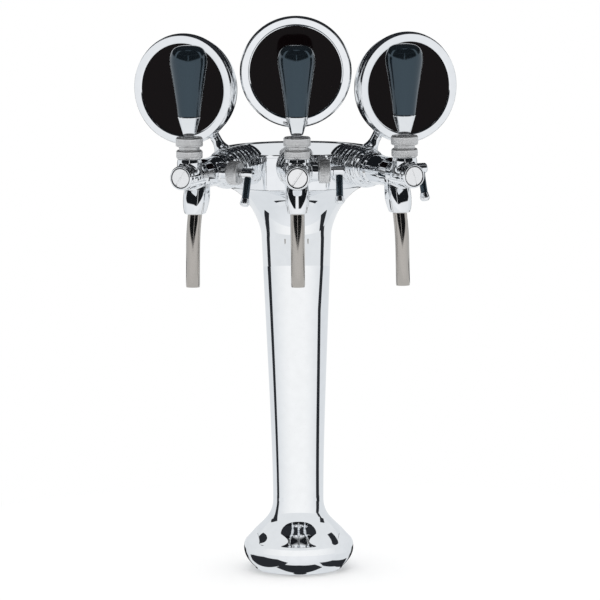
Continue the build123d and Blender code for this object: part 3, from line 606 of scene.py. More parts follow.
# Acetal and food-grade tube of the inner pieces: off-white, with a dull sheen.
ACETAL = Finish("acetal_turned", "DAD9D2", "inner_plastic", roughness=0.45, spread=0.05,
                grain_mm=0.8, depth_mm=0.02)
# Nitrile rubber seals: matt black. The same black ring fills the cap's groove as painted shade.
RUBBER_AND_GROOVE_SHADE = Finish("nitrile_rubber", "16171A", "seal_rubber", roughness=0.65, spread=0.08,
                grain_mm=0.5, depth_mm=0.03)
# Solder-masked lamp board: an even white.
LAMP_BOARD = Finish("white_lamp_board", "E6E4DC", "lamp_board", roughness=0.5, spread=0.05,
                    grain_mm=0.5, depth_mm=0.02)


def paint(obj: bpy.types.Object, finish: Finish) -> None:
    """Makes a finish the only material of a piece or a CAD node."""
    obj.data.materials.clear()
    obj.data.materials.append(finish.material())


def paint_nodes(finishes: dict[str, Finish]) -> None:
    """Gives CAD nodes that stay as they are their finishes, by their names."""
    for name, finish in finishes.items():
        paint(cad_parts[name], finish)


def dress(obj: bpy.types.Object, finish: Finish, body: str, *nodes: str) -> None:
    """Gives a finished piece its material, its body and the nodes it stands for.

    Args:
        obj: the piece.
        finish: its finish.
        body: body that it moves with.
        nodes: CAD nodes that it replaces.
    """
    paint(obj, finish)
    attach(obj, body)
    if nodes:
        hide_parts(*nodes)
    LOG.info("%s: %d faces, rides on %s", obj.name, len(obj.data.polygons), body)


# ---------------------------------------------------------------- the tower
@dataclass
class Column:
    """Trumpet column with its foot, the drum on top of it and the lid."""

    foot_base_r: float = 46.0
    foot_base_z: float = 2.0
    foot_max_r: float = 57.5
    foot_max_z: float = 22.0
    shoulder_z: float = 43.0
    shoulder_out: float = 2.0
    crown: Pair = (2.9, 9.5)      # where the foot's top starts, in from its edge and up from there
    waist: Pair = (26.4, 74.0)
    shaft: Pair = (36.2, 352.0)
    head_r: float = 80.0
    head_bottom_z: float = 407.0
    head_top_z: float = 440.4
    head_rim: float = 6.0
    lid_top_z: float = 443.4
    lid_rim: float = 2.4
    lid_sink: float = 1.0
    flat_half: float = 31.0
    wall: float = 5.0
    gasket_r: Pair = (22.0, 43.6)

    def trumpet(self) -> Array:
        """Outer profile from the sole to the drum's lower edge: a small lip and six bends.

        Each bend's pulls are shares of the height between the points that it joins, or, on the
        foot's top, of the height from the foot's edge to its shoulder.

        Returns:
            An array of radius and height.
        """
        sole, belly = (self.foot_base_r, self.foot_base_z), (self.foot_max_r, self.foot_max_z)
        crown = (self.foot_max_r - self.crown[0], self.foot_max_z + self.crown[1])
        shoulder = ((self.foot_max_r + self.waist[0]) / 2 + self.shoulder_out, self.shoulder_z)
        rim = (self.head_r, self.head_bottom_z)
        rise, under, inwards = (0, 1), (0.75, 0.66), (-0.72, 0.69)
        up_shaft, out = (0.04, 1.0), (0.985, 0.17)
        bowl, flank = self.foot_max_z - self.foot_base_z, self.shoulder_z - self.foot_max_z
        swell, straight = self.waist[1] - self.shoulder_z, self.shaft[1] - self.waist[1]
        flare = self.head_bottom_z - self.shaft[1]
        lip = [[self.foot_base_r - inset, z] for inset, z in ((1.6, 0.3), (0.7, 0.4), (0.2, 0.9))]
        return np.concatenate([
            lip,
            bend(sole, under, 0.35 * bowl, belly, rise, 0.45 * bowl, 16)[:-1],
            bend(belly, rise, 0.22 * flank, crown, inwards, 0.14 * flank, 14)[:-1],
            bend(crown, inwards, 0.2 * flank, shoulder, inwards, 0.2 * flank, 12)[:-1],
            bend(shoulder, inwards, 0.44 * swell, self.waist, rise, 0.5 * swell, 22)[:-1],
            bend(self.waist, rise, 0.22 * straight, self.shaft, up_shaft, 0.36 * straight, 60)[:-1],
            bend(self.shaft, up_shaft, 0.25 * flare, rim, out, 0.55 * flare, 36),
        ])

    def flat_depth(self) -> float:
        """How far in front of the axis the drum's flat stands."""
        return math.sqrt(self.head_r ** 2 - self.flat_half ** 2)

    def trimmed(self, r: Array, h: Array, a: Array) -> Array:
        """Radius cut back to the front flat: no point goes further forward than the flat."""
        forward = np.maximum(-np.sin(a), 1e-6)
        return np.where(h > self.shaft[1], np.minimum(r, self.flat_depth() / forward), r)

    def column(self) -> None:
        """The hollow column: its outer profile, and the same moved in by the wall."""
        skin = self.trumpet()
        outline = np.concatenate([skin, skin[::-1] - [self.wall, 0]])
        column = turned("column_trumpet", Place(), outline, 256, loop=True, relief=self.trimmed)
        dress(column, CHROME, "tower", "column_shell")

    def drum(self) -> None:
        """The drum's wall, whose closed outline starts and ends at its inner lower corner."""
        outer, inner = self.head_r, self.head_r - self.head_rim
        low, high = self.head_bottom_z, self.head_top_z - 0.05
        outline = rounded([(inner, low + 0.2, 0), (outer, low, 1.0), (outer, high, 0.5), (inner, high, 0),
                           (inner, low + 0.2, 0)])
        dress(turned("head_drum", Place(), outline[:-1], 384, loop=True, relief=self.trimmed), CHROME,
              "tower")

    def lid(self) -> None:
        """The lid: a disc with a raised rim and a rounded edge."""
        r, low, top = self.head_r, self.head_top_z + 0.1, self.lid_top_z
        floor = top - self.lid_sink
        outline = rounded([(0, low, 0), (r, low, 0.3), (r, top, 1.0), (r - 1.9, top, 0.9),
                           (r - self.lid_rim, floor, 0.3), (r - 9, floor, 0), (0, floor, 0)])
        dress(turned("head_lid_turned", Place(), outline, 384, relief=self.trimmed), CHROME, "tower",
              "head_lid")

    def foot(self) -> None:
        """The pieces in the foot: the plate and its screws as they are, and the gasket under it."""
        paint_nodes({"anchor_plate": STEEL, "plate_screws": STEEL})
        inner, outer = self.gasket_r
        gasket = rounded([(inner, 0.05, 0), (outer, 0.05, 0.2), (outer, 1.95, 0), (inner, 1.95, 0)])
        dress(turned("foot_gasket_ring", Place(), gasket, 128, loop=True), RUBBER_AND_GROOVE_SHADE, "tower", "foot_gasket")

    def build(self) -> None:
        """Makes the column, the drum, the lid and the foot."""
        self.column()
        self.drum()
        self.lid()
        self.foot()


@dataclass
class Station:
    """A place on the drum for a tap and a medallion, with the frame of its tap."""

    side: Side
    turn: float = 26.0            # how far a side tap points outwards, in degrees
    bearing: float = 34.8         # direction of a side tap's handle from the drum's axis
    side_reach: float = 188.8     # distance of the handle from the drum's axis
    middle_reach: float = 163.0
    shank_z: float = 431.0

    @property
    def place(self) -> Place:
        """The tap's frame, at the handle: x forward along the shank, y to the viewer's right, z up.

        Returns:
            The frame, turned by the tap's angle and set at its reach along its bearing.
        """
        turn = math.radians(self.side.value * self.turn)
        bearing = math.radians(self.side.value * self.bearing)
        reach = self.side_reach if self.side.value else self.middle_reach
        forward = (math.sin(turn), -math.cos(turn), 0.0)
        right = (math.cos(turn), math.sin(turn), 0.0)
        origin = (reach * math.sin(bearing), -reach * math.cos(bearing), self.shank_z)
        return Place(origin, (forward, right, (0.0, 0.0, 1.0)))

    def name(self, piece: str) -> str:
        """A piece's name with this side's ending."""
        return f"{piece}_{self.side.word}"


@dataclass
class Tap(Station):
    """One compensator tap on its shank, with the drum's boss behind it."""

    boss_r: float = 20.95
    boss_groove_r: float = 19.9
    boss_back_x: float = -129.0
    boss_front_x: float = -85.15
    bead_starts_x: tuple[float, ...] = (-121.4, -112.4, -103.4, -94.4)
    # Places along the barrel and its radius at each: inlet, inlet bead, body and front.
    barrel_x: tuple[float, ...] = (-80, -68, -66, -61, -58, -30, -18, 14)
    barrel_r: tuple[float, ...] = (13.0, 13.0, 16.2, 16.2, 14.8, 14.6, 12.8, 12.8)
    neck_top_z: float = 18.0
    outlet_top: Pair = (-17.6, -9.0)
    outlet_lean: float = 12.5
    outlet_bottom_z: float = -39.0
    cap_face_x: float = 20.4
    slot_half: float = 0.75
    slot_wall: float = 0.15       # width of the slot's sloping sides
    slot_depth: float = 0.9
    slot_turn: float = -35.0      # angle of the slot in the cap, in degrees
    right_slot_turn: float = 18.0
    spout_r: float = 7.1
    spout_wall: float = 0.9
    spout_gap: float = 0.02       # between the tube and the outlet round it
    spout_mouth: float = 0.25     # how far the tube's mouth draws in
    spout_seat: float = 12.5      # how far the tube goes up into the outlet
    spout_knee_z: float = -62.0
    spout_end_z: float = -112.5
    spout_end_lean: float = 1.5
    flow_x: float = -46.0
    flow_boss_y: float = 22.0
    flow_rod_y: float = 43.0
    flow_rod_lean: float = 17.0

    def outlet_x(self, z: Array) -> Array:
        """Centre line of the leaning outlet at height z."""
        return self.outlet_top[0] + (self.outlet_top[1] - z) * math.tan(math.radians(self.outlet_lean))

    def boss(self) -> None:
        """Boss on the drum that the shank goes through: a plain root and four shallow beads."""
        bead, groove, back, front = self.boss_r, self.boss_groove_r, self.boss_back_x, self.boss_front_x
        beads = [row for x in self.bead_starts_x for row in
                 ((groove, x, 1.0), (bead, x + 1.8, 2.2), (bead, x + 6.4, 2.2), (groove, x + 8.2, 1.0))]
        outline = rounded([(0, back, 0), (bead, back, 0.6), (bead, back + 6.6, 0.6), *beads,
                           (groove, front, 0.3), (12, front, 0), (0, front, 0)], 9)
        dress(turned(self.name("shank_boss"), self.place.along_x(), outline, 160), CHROME, "tower")

    def coupling(self) -> None:
        """Stepped clamping ring: two beads, a hollow and a cone."""
        outline = rounded([
            (13.2, -84.9, 0), (20.9, -84.9, 0.5), (20.9, -81.6, 0.6), (19.8, -80.9, 0.3),
            (19.8, -79.8, 0.3), (20.4, -79.0, 0.6), (19.6, -76.4, 0.8), (18.1, -75.6, 0.4),
            (18.1, -74.0, 0.5), (16.8, -71.0, 0.5), (16.0, -70.0, 0.4), (13.2, -70.0, 0),
        ])
        ring = turned(self.name("coupling_ring"), self.place.along_x(), outline, 160, loop=True)
        dress(ring, CHROME, "tower", "coupling_rings")

    def outlet_distance(self, x: Array, y: Array, z: Array) -> Array:
        """Distance to the leaning outlet, a rounded square across, with crowned faces.

        Half its width grows evenly from the mouth up, less the square of the height above or below
        its fullest place, and each face falls back by the square of the offset from its middle.

        Args:
            x: places along the shank.
            y: places across it.
            z: heights.

        Returns:
            Millimetres, negative inside.
        """
        corner, fullest_z, belly, crown = 7.0, -25.0, 130.0, 180.0
        bottom, top = self.outlet_bottom_z, self.outlet_top[1]
        across = (x - self.outlet_x(z)) * math.cos(math.radians(self.outlet_lean))
        half = np.interp(z, [bottom, top], [11.4, 12.8]) - (z - fullest_z) ** 2 / belly
        qx = np.abs(across) - half + corner + y ** 2 / crown
        qy = np.abs(y) - half + corner + across ** 2 / crown
        beyond = np.hypot(np.maximum(qx, 0), np.maximum(qy, 0))
        square = beyond + np.minimum(np.maximum(qx, qy), 0) - corner
        return smooth_max(square, np.maximum(z - 2.0, bottom - z), 1.6)

    def casting_distance(self, p: Array) -> Array:
        """Distance to the tap's casting: barrel with its inlet bead, neck, outlet and flow boss.

        Each is the distance from its axis less a radius that changes along it, cut off at its ends
        with a rounded edge, and the corners where they meet are filled.

        Args:
            p: array (..., 3) of points in the tap's frame.

        Returns:
            Millimetres, negative inside.
        """
        x, y, z = p[..., 0], p[..., 1], p[..., 2]
        middle_x, half, root = -33.0, 47.0, 2.0
        radius = np.interp(x, self.barrel_x, self.barrel_r)
        barrel = smooth_max(np.hypot(y, z) - radius, np.abs(x - middle_x) - half, 1.2)
        neck_r = np.interp(z, [0, 14, 18], [12.5, 12.5, 11.6])
        neck = smooth_max(np.hypot(x, y) - neck_r, z - self.neck_top_z, 0.6)
        neck = np.maximum(neck, -z - root)
        boss_r = np.interp(y, [0, 14, 22], [11.5, 10.5, 9.9])
        ends = np.maximum(y - self.flow_boss_y, -y - root)
        boss = smooth_max(np.hypot(x - self.flow_x, z) - boss_r, ends, 0.6)
        body = smooth_min(barrel, neck, 2.5)
        body = smooth_min(body, self.outlet_distance(x, y, z), 3.0)
        return smooth_min(body, boss, 3.0)

    def casting(self) -> None:
        """The cast body: one closed skin with filled corners. Its bores don't show and aren't made."""
        body = cast(self.name("tap_casting"), self.place, self.casting_distance,
                    low=(-82, -17, -41), high=(16, 24, 20), pitch=0.8)
        dress(body, CHROME, "tower", self.name("tap_body"))

    def cap(self) -> None:
        """Front plug: a polished rim, a brushed disc with a slot, and a black ring of painted shade in the
        groove between them.
        """
        along, face = self.place.along_x(), self.cap_face_x
        rim = rounded([
            (7.9, 14.9, 0), (12.2, 14.9, 0.3), (12.2, 19.4, 1.2), (11.2, 20.5, 0.7), (10.4, 20.5, 0.2),
            (10.2, 18.2, 0.1), (7.9, 18.2, 0),
        ])
        dress(turned(self.name("cap_rim"), along, rim, 128, loop=True), CHROME, "tower", "front_caps")
        edge = rounded([(0, 17.6, 0), (9.6, 17.6, 0.1), (9.6, 20.2, 0.5), (8.2, face, 0.3), (0, face, 0)])
        circles = np.linspace(9.2, 0, 64)[:, None]
        disc = np.concatenate([edge[:-2], np.concatenate([circles, face + 0 * circles], 1)])
        obj = turned(self.name("cap_disc"), along, disc, 360)
        self.press_slot(obj, along)
        dress(obj, BRUSHED_CHROME, "tower")
        # Black ring in the groove between rim and disc: painted shade of the narrow groove, not a seal.
        lip = rounded([(9.62, 18.6, 0), (10.3, 18.6, 0.2), (10.3, 20.0, 0.3), (9.62, 20.0, 0.3),
                       (9.62, 18.6, 0)])
        dress(turned(self.name("cap_o_ring"), along, lip[:-1], 96, loop=True), RUBBER_AND_GROOVE_SHADE, "tower")

    def press_slot(self, obj: bpy.types.Object, along: Place) -> None:
        """Presses the screwdriver slot in: points of the face within its half width go down.

        The share of the slot's depth rises from nought to one across its sloping sides.

        Args:
            obj: the disc, whose points move.
            along: frame that the disc was turned in.
        """
        local = along.local(mesh_points(obj))
        angle = math.radians(self.right_slot_turn if self.side is Side.RIGHT else self.slot_turn)
        offset = np.abs(local[:, 0] * math.cos(angle) + local[:, 1] * math.sin(angle))
        on_face = local[:, 2] > self.cap_face_x - 0.1
        share = np.clip((self.slot_half - offset) / self.slot_wall, 0, 1) * on_face
        local[:, 2] -= self.slot_depth * share
        world = along.world(local) * MM
        obj.data.vertices.foreach_set("co", world.astype(np.float32).ravel())
        obj.data.update()

    def rings(self) -> None:
        """The two knurled rings of the upright neck: the lower one narrows to a waist on top."""
        lower = rounded([
            (8.9, 18.1, 0), (12.4, 18.1, 0.3), (13.2, 19.1, 0.3), (13.2, 25.2, 0.3), (12.0, 26.5, 0.3),
            (10.4, 26.6, 0.4), (10.4, 29.8, 0), (8.9, 29.8, 0),
        ], 4)
        ring = turned(self.name("bonnet_ring"), self.place, dense(lower), 312, loop=True,
                      relief=knurl(19.4, 24.9))
        dress(ring, SATIN_CHROME, "tower", "bonnet_rings")
        upper = rounded([
            (8.6, 30.0, 0), (12.6, 30.0, 0.3), (13.6, 31.0, 0.3), (13.6, 38.2, 0.4), (12.4, 39.5, 0.5),
            (11.7, 39.5, 0.2), (10.6, 36.4, 0.3), (8.2, 36.4, 0.2), (8.2, 35.0, 0), (8.6, 33.0, 0),
        ], 4)
        collar = turned(self.name("collar_nut"), self.place, dense(upper), 312, loop=True,
                        relief=knurl(31.3, 37.9))
        dress(collar, SATIN_CHROME, "tower", "collar_nuts")

    def handle(self) -> None:
        """Ferrule and grip: a polished cone under a pear of moulded phenolic, on a steel rod."""
        body = f"handle_{self.side.word}"
        cone = rounded([(3.95, 41.3, 0), (5.8, 41.3, 0.2), (6.3, 42.1, 0.4), (11.3, 59.1, 0.5),
                        (11.0, 60.0, 0.3), (3.95, 60.0, 0)])
        ferrule = turned(self.name("handle_ferrule"), self.place, cone, 128, loop=True)
        dress(ferrule, CHROME, body, self.name("ferrule"))
        belly, dome, tip = (18.2, 109), (16.0, 126.4), (0, 131.4)
        pear = np.concatenate([
            [[0, 60.06]], [[10.7, 60.06]],
            bezier((11.15, 60.5), (12.6, 74), (16.0, 96), belly, 30),
            bezier(belly, (19.3, 116), (18.9, 122), dome, 16)[1:],
            bezier(dome, (12.6, 131.3), (5.0, 131.4), tip, 18)[1:],
        ])
        dress(turned(self.name("handle_grip"), self.place, pear, 160), BAKELITE, body, self.name("grip"))
        paint_nodes({self.name("tap_lever"): STEEL})

    def spout(self) -> None:
        """Drawn stainless tube that leaves the outlet leaning and bends down to the vertical."""
        top = self.outlet_bottom_z + self.spout_seat
        drop = self.spout_knee_z - self.spout_end_z
        start = np.array([self.outlet_x(top), top])
        knee = np.array([self.outlet_x(self.spout_knee_z), self.spout_knee_z])
        end = knee + [drop * math.sin(math.radians(self.spout_end_lean)), -drop]
        up, down = (start - knee) / np.linalg.norm(start - knee), (end - knee) / np.linalg.norm(end - knee)
        before, after = knee + up * 15, knee + down * 24
        straight = np.linspace(0, 1, 12)[:, None]
        path = np.concatenate([
            start + (before - start) * straight,
            bezier(before, knee + up * 4, knee + down * 6, after, 30)[1:-1],
            after + (end - after) * straight,
        ])
        outer = np.full(len(path), self.spout_r - self.spout_gap)
        outer[-1] -= self.spout_mouth
        tube = swept(self.name("spout_tube"), self.place, path, outer, outer - self.spout_wall)
        dress(tube, STAINLESS, "tower", self.name("spout"))

    def flow_control(self) -> None:
        """Knurled packing nut, hub, and the black rod with its tip that hangs from the hub."""
        centre = self.place.moved(x=self.flow_x)
        nut = rounded([(3.6, 22.1, 0), (11.2, 22.1, 0.3), (12.2, 23.1, 0.3), (12.2, 32.6, 0.5),
                       (10.8, 33.9, 0.5), (3.6, 33.9, 0)], 4)
        dress(turned(self.name("flow_nut"), centre.along_y(), dense(nut), 288, loop=True,
                     relief=knurl(23.4, 32.3, 72)), SATIN_CHROME, "tower", "flow_nuts")
        body = f"flow_control_{self.side.word}"
        hub = rounded([(0, 34.4, 0), (4.4, 34.4, 0.2), (4.4, 36.6, 0.2), (5.35, 37.1, 0.3),
                       (5.35, 47.9, 1.0), (4.2, 48.95, 0.6), (0, 48.95, 0)])
        dress(turned(self.name("flow_hub"), centre.along_y(), hub, 96), CHROME, body,
              self.name("flow_lever"))
        down = centre.moved(y=self.flow_rod_y).leaned(180 - self.flow_rod_lean)
        rod = rounded([(0, 3.0, 0), (3.55, 3.0, 0), (3.55, 25, 0.6), (4.0, 26.0, 0), (0, 26.0, 0)])
        dress(turned(self.name("flow_rod"), down, rod, 64), BAKELITE, body)
        tip = rounded([(0, 26.05, 0), (4.1, 26.05, 0.3), (4.95, 30.0, 1.2), (4.95, 32.0, 1.0),
                       (3.2, 34.0, 1.6), (0, 34.0, 0)])
        dress(turned(self.name("flow_tip"), down, tip, 64), CHROME, body)

    def inside(self) -> None:
        """Dresses the hidden pieces of the tap, which stay as they are."""
        kinds = {"shank": STEEL, "valve_piston": STEEL, "piston_seal": RUBBER_AND_GROOVE_SHADE, "compensator": ACETAL}
        paint_nodes({self.name(kind): finish for kind, finish in kinds.items()})

    def build(self) -> None:
        """Makes the whole tap."""
        self.boss()
        self.coupling()
        self.casting()
        self.cap()
        self.rings()
        self.handle()
        self.spout()
        self.flow_control()
        self.inside()


@dataclass
class Medallion(Station):
    """Round lit medallion on its stem."""

    lean: float = 31.0
    stem_x: float = -94.5
    side_stem_top: float = 38.4   # height of the housing's rim above the boss's axis
    middle_stem_top: float = 43.4
    housing_r: float = 54.6

    def stem_place(self) -> Place:
        """The stem's frame: from the boss's axis, with x forward and z up along its lean.

        Returns:
            The tap's frame moved back to the stem and turned about its x axis.
        """
        base = self.place.moved(x=self.stem_x)
        lean = math.radians(self.side.value * self.lean)
        x, y, z = (np.array(a, float) for a in base.axes)
        up = math.cos(lean) * z + math.sin(lean) * y
        return Place(base.origin, (tuple(x), tuple(np.cross(up, x)), tuple(up)))

    def stem(self, place: Place, top: float) -> None:
        """Stem: a wide collar, a hollow curve to a thin rod, and a spigot in the housing.

        Args:
            place: the stem's frame.
            top: height of the rod's end.
        """
        outline = rounded([
            (0, 16, 0), (8.3, 16, 0), (8.3, 21.2, 0.6), (6.6, 24.4, 2.2), (5.25, 29, 2.4), (5.25, top, 0),
            (3.8, top + 0.1, 0), (3.8, top + 2.6, 0), (0, top + 2.6, 0),
        ])
        dress(turned(self.name("stem"), place, outline, 96), CHROME, "tower", self.name("medallion_stem"))

    def disc(self, place: Place) -> None:
        """The shallow dish of the housing, the bezel that clips over it and the glass face.

        Args:
            place: frame at the middle of the disc, with z forward.
        """
        housing = rounded([
            (0, -8.95, 0), (46.5, -8.95, 3), (52.4, -6.7, 3), (54.5, -1.0, 4), (54.5, 10.9, 0),
            (52.5, 10.9, 0), (52.5, -1, 3), (50, -5, 3), (45, -6.7, 2), (0, -6.7, 0),
        ])
        dress(turned(self.name("housing"), place, housing, 192), CHROME, "tower",
              self.name("medallion_housing"))
        bezel = rounded([
            (54.75, 6.1, 0), (55.9, 6.1, 0.4), (56.9, 7.6, 0.8), (57.1, 10.6, 1.6), (56.1, 13.6, 0.8),
            (55.1, 15.0, 0.5), (51.5, 15.05, 0.6), (48.3, 15.0, 0.6), (46.95, 14.4, 0.2),
            (46.95, 14.05, 0), (54.75, 14.05, 0),
        ])
        dress(turned(self.name("bezel"), place, bezel, 224, loop=True), CHROME, "tower",
              self.name("medallion_bezel"))
        face = rounded([(0, 11.1, 0), (54.2, 11.1, 0), (54.2, 13.95, 0), (46, 13.95, 0), (0, 13.95, 0)])
        dress(turned(self.name("face"), place, face, 160), BLACK_GLASS, "tower",
              self.name("medallion_face"))

    def build(self) -> None:
        """Makes the stem, the housing, the bezel and the face."""
        place = self.stem_place()
        top = self.side_stem_top if self.side.value else self.middle_stem_top
        self.stem(place, top)
        self.disc(place.moved(z=top + self.housing_r).along_x())


def dress_shared() -> None:
    """Dresses the CAD nodes that hold one piece for each tap, or the lines, and stay as they are."""
    paint_nodes({
        "coolant_line": ACETAL, "beer_lines": ACETAL, "shank_nuts": STEEL, "inlet_seals": RUBBER_AND_GROOVE_SHADE,
        "cap_seals": RUBBER_AND_GROOVE_SHADE, "ball_seats": ACETAL, "led_boards": LAMP_BOARD, "stem_lock_screws": STEEL,
    })


# ---------------------------------------------------------------- the studio
@dataclass
class Studio:
    """Pale floor, white surround, soft light and camera, with cards and flags that mirrors see.

    The camera and the cards are placed in millimetres, the lamp and the floor in metres, and flags
    in degrees.
    """

    camera_at: Point = (-37.15, -4180.65, 852.23)
    yaw: float = 0.555
    pitch: float = -7.742
    roll: float = -0.435
    lens_px: float = 4036.2
    frame_px: float = 600.0
    lamp_watts: float = 12.0
    lamp_size: float = 2.0
    lamp_at: Point = (0.0, -0.3, 2.4)
    floor_half: float = 9.0
    shadow_ends: Pair = (0.12, 0.5)   # how near and how far from the tower its shadow fades
    front_white: str = "F6F7F9"
    side_white: str = "E3E6E9"
    roof_white: str = "EAECEE"
    flag_black: str = "17191C"
    # black of the cards, and of the painted shade on the floor round the foot
    card_black: str = "2A2C30"
    flag_slope: float = 0.145     # how fast the front flag's lower edge rises to the sides
    flag_ramps: tuple[tuple[tuple[str, float, float], ...], ...] = (
        (("lowered", -2.0, -0.5), ("height", 34, 30), ("azimuth", 84, 80), ("azimuth", 1.6, 2.2)),
        (("height", 30, 32), ("height", 75, 72), ("azimuth", 84, 80)),
        (("azimuth", 95, 100), ("height", 12, 14), ("height", 63, 60)),
        (("azimuth", 146, 152), ("height", -24, -20), ("height", 1, -1)),
    )
    card_x: float = 400.0
    tent_r: float = 500.0
    tent_z: Pair = (-60.0, 300.0)
    tent_hole_r: float = 150.0
    flap_x: Pair = (62.0, 150.0)
    flap_z: float = 52.0

    def camera(self) -> None:
        """Sets the camera up: looking along +Y, pitched down, with a long lens."""
        data = bpy.data.cameras.new("camera")
        data.sensor_width = 36.0
        data.lens = self.lens_px / self.frame_px * data.sensor_width
        data.clip_start, data.clip_end = 0.1, 40.0
        cam = bpy.data.objects.new("camera", data)
        bpy.context.scene.collection.objects.link(cam)
        yaw, pitch, roll = (math.radians(v) for v in (self.yaw, self.pitch, self.roll))
        forward = np.array([math.sin(yaw) * math.cos(pitch), math.cos(yaw) * math.cos(pitch),
                            math.sin(pitch)])
        right = np.array([math.cos(yaw), -math.sin(yaw), 0.0])
        up = np.cross(right, forward)
        c, s = math.cos(roll), math.sin(roll)
        right, up = c * right + s * up, -s * right + c * up
        turn = Matrix((right, up, -forward)).transposed().to_4x4()
        turn.translation = [v * MM for v in self.camera_at]
        cam.matrix_world = turn
        bpy.context.scene.camera = cam

    def flag_angles(self, tree: bpy.types.NodeTree, axes: bpy.types.Node) -> dict[str, bpy.types.Node]:
        """Angles of a direction, by which the flags are placed.

        Azimuth is counted from straight ahead, to both sides, and height from the horizon; lowered
        is the height less the flag slope's share of the azimuth.

        Args:
            tree: the world's node tree.
            axes: node that gives the direction's X, Y and Z.

        Returns:
            The node of each angle.
        """
        front = add(tree, "ShaderNodeMath", {"operation": "MULTIPLY", "in:1": -1.0},
                    {0: axes.outputs["Y"]})
        across = add(tree, "ShaderNodeMath", {"operation": "ABSOLUTE"}, {0: axes.outputs["X"]})
        azimuth = add(tree, "ShaderNodeMath", {"operation": "ARCTAN2"},
                      {0: across.outputs[0], 1: front.outputs[0]})
        height = add(tree, "ShaderNodeMath", {"operation": "ARCSINE"}, {0: axes.outputs["Z"]})
        rise = add(tree, "ShaderNodeMath", {"operation": "MULTIPLY", "in:1": self.flag_slope},
                   {0: azimuth.outputs[0]})
        lowered = add(tree, "ShaderNodeMath", {"operation": "SUBTRACT"},
                      {0: height.outputs[0], 1: rise.outputs[0]})
        return {"azimuth": azimuth, "height": height, "lowered": lowered}

    def dark_share(self, tree: bpy.types.NodeTree, axes: bpy.types.Node) -> bpy.types.NodeSocket:
        """How much of the dark flags a mirror sees in each direction.

        Each flag is the product of its ramps, from 0 at the first angle to 1 at the second, and the
        darkest flag counts.

        Args:
            tree: the world's node tree.
            axes: node that gives the direction's X, Y and Z.

        Returns:
            Socket with 0 for the white surround and 1 for a flag.
        """
        angles = self.flag_angles(tree, axes)
        most = None
        for ramps in self.flag_ramps:
            flag = None
            for angle, nought, full in ramps:
                low, high = sorted((math.radians(nought), math.radians(full)))
                settings = {"in:From Min": low, "in:From Max": high,
                            "in:To Min": float(nought > full), "in:To Max": float(nought < full)}
                ramp = add(tree, "ShaderNodeMapRange", settings, {"Value": angles[angle].outputs[0]})
                flag = ramp if flag is None else add(tree, "ShaderNodeMath", {"operation": "MULTIPLY"},
                                                     {0: flag.outputs[0], 1: ramp.outputs[0]})
            most = flag if most is None else add(tree, "ShaderNodeMath", {"operation": "MAXIMUM"},
                                                 {0: most.outputs[0], 1: flag.outputs[0]})
        return most.outputs[0]

    @staticmethod
    def rays(tree: bpy.types.NodeTree) -> tuple[bpy.types.NodeSocket, bpy.types.NodeSocket]:
        """Tells the rays of the eye from those of mirrors and glass.

        Args:
            tree: the node tree that asks.

        Returns:
            Socket with 1 for a ray from the eye, and socket with 1 for one off or through a gloss.
        """
        path = add(tree, "ShaderNodeLightPath")
        mirror = add(tree, "ShaderNodeMath", {"operation": "MAXIMUM"},
                     {0: path.outputs["Is Glossy Ray"], 1: path.outputs["Is Transmission Ray"]})
        return path.outputs["Is Camera Ray"], mirror.outputs[0]

    def world(self) -> None:
        """White surround: plain white to the eye; mirrors also see dark flags in it."""
        world = bpy.data.worlds.new("studio")
        bpy.context.scene.world = world
        tree = empty_tree(world)
        where = add(tree, "ShaderNodeTexCoord")
        axes = add(tree, "ShaderNodeSeparateXYZ", {}, {"Vector": where.outputs["Generated"]})
        sideways = add(tree, "ShaderNodeMapRange", {"in:From Min": -0.98, "in:From Max": 0.1},
                       {"Value": axes.outputs["Y"]})
        walls = add(tree, "ShaderNodeMixRGB",
                    {"in:Color1": linear(self.front_white), "in:Color2": linear(self.side_white)},
                    {"Fac": sideways.outputs["Result"]})
        flags = add(tree, "ShaderNodeMixRGB", {"in:Color2": linear(self.flag_black)},
                    {"Fac": self.dark_share(tree, axes), "Color1": walls.outputs["Color"]})
        mirror = self.rays(tree)[1]
        plain = add(tree, "ShaderNodeBackground", {"in:Color": (1, 1, 1, 1), "in:Strength": 1.0})
        mirrored = add(tree, "ShaderNodeBackground", {"in:Strength": 1.0},
                       {"Color": flags.outputs["Color"]})
        mix = add(tree, "ShaderNodeMixShader", {},
                  {0: mirror, 1: plain.outputs["Background"], 2: mirrored.outputs["Background"]})
        add(tree, "ShaderNodeOutputWorld", {}, {"Surface": mix.outputs["Shader"]})

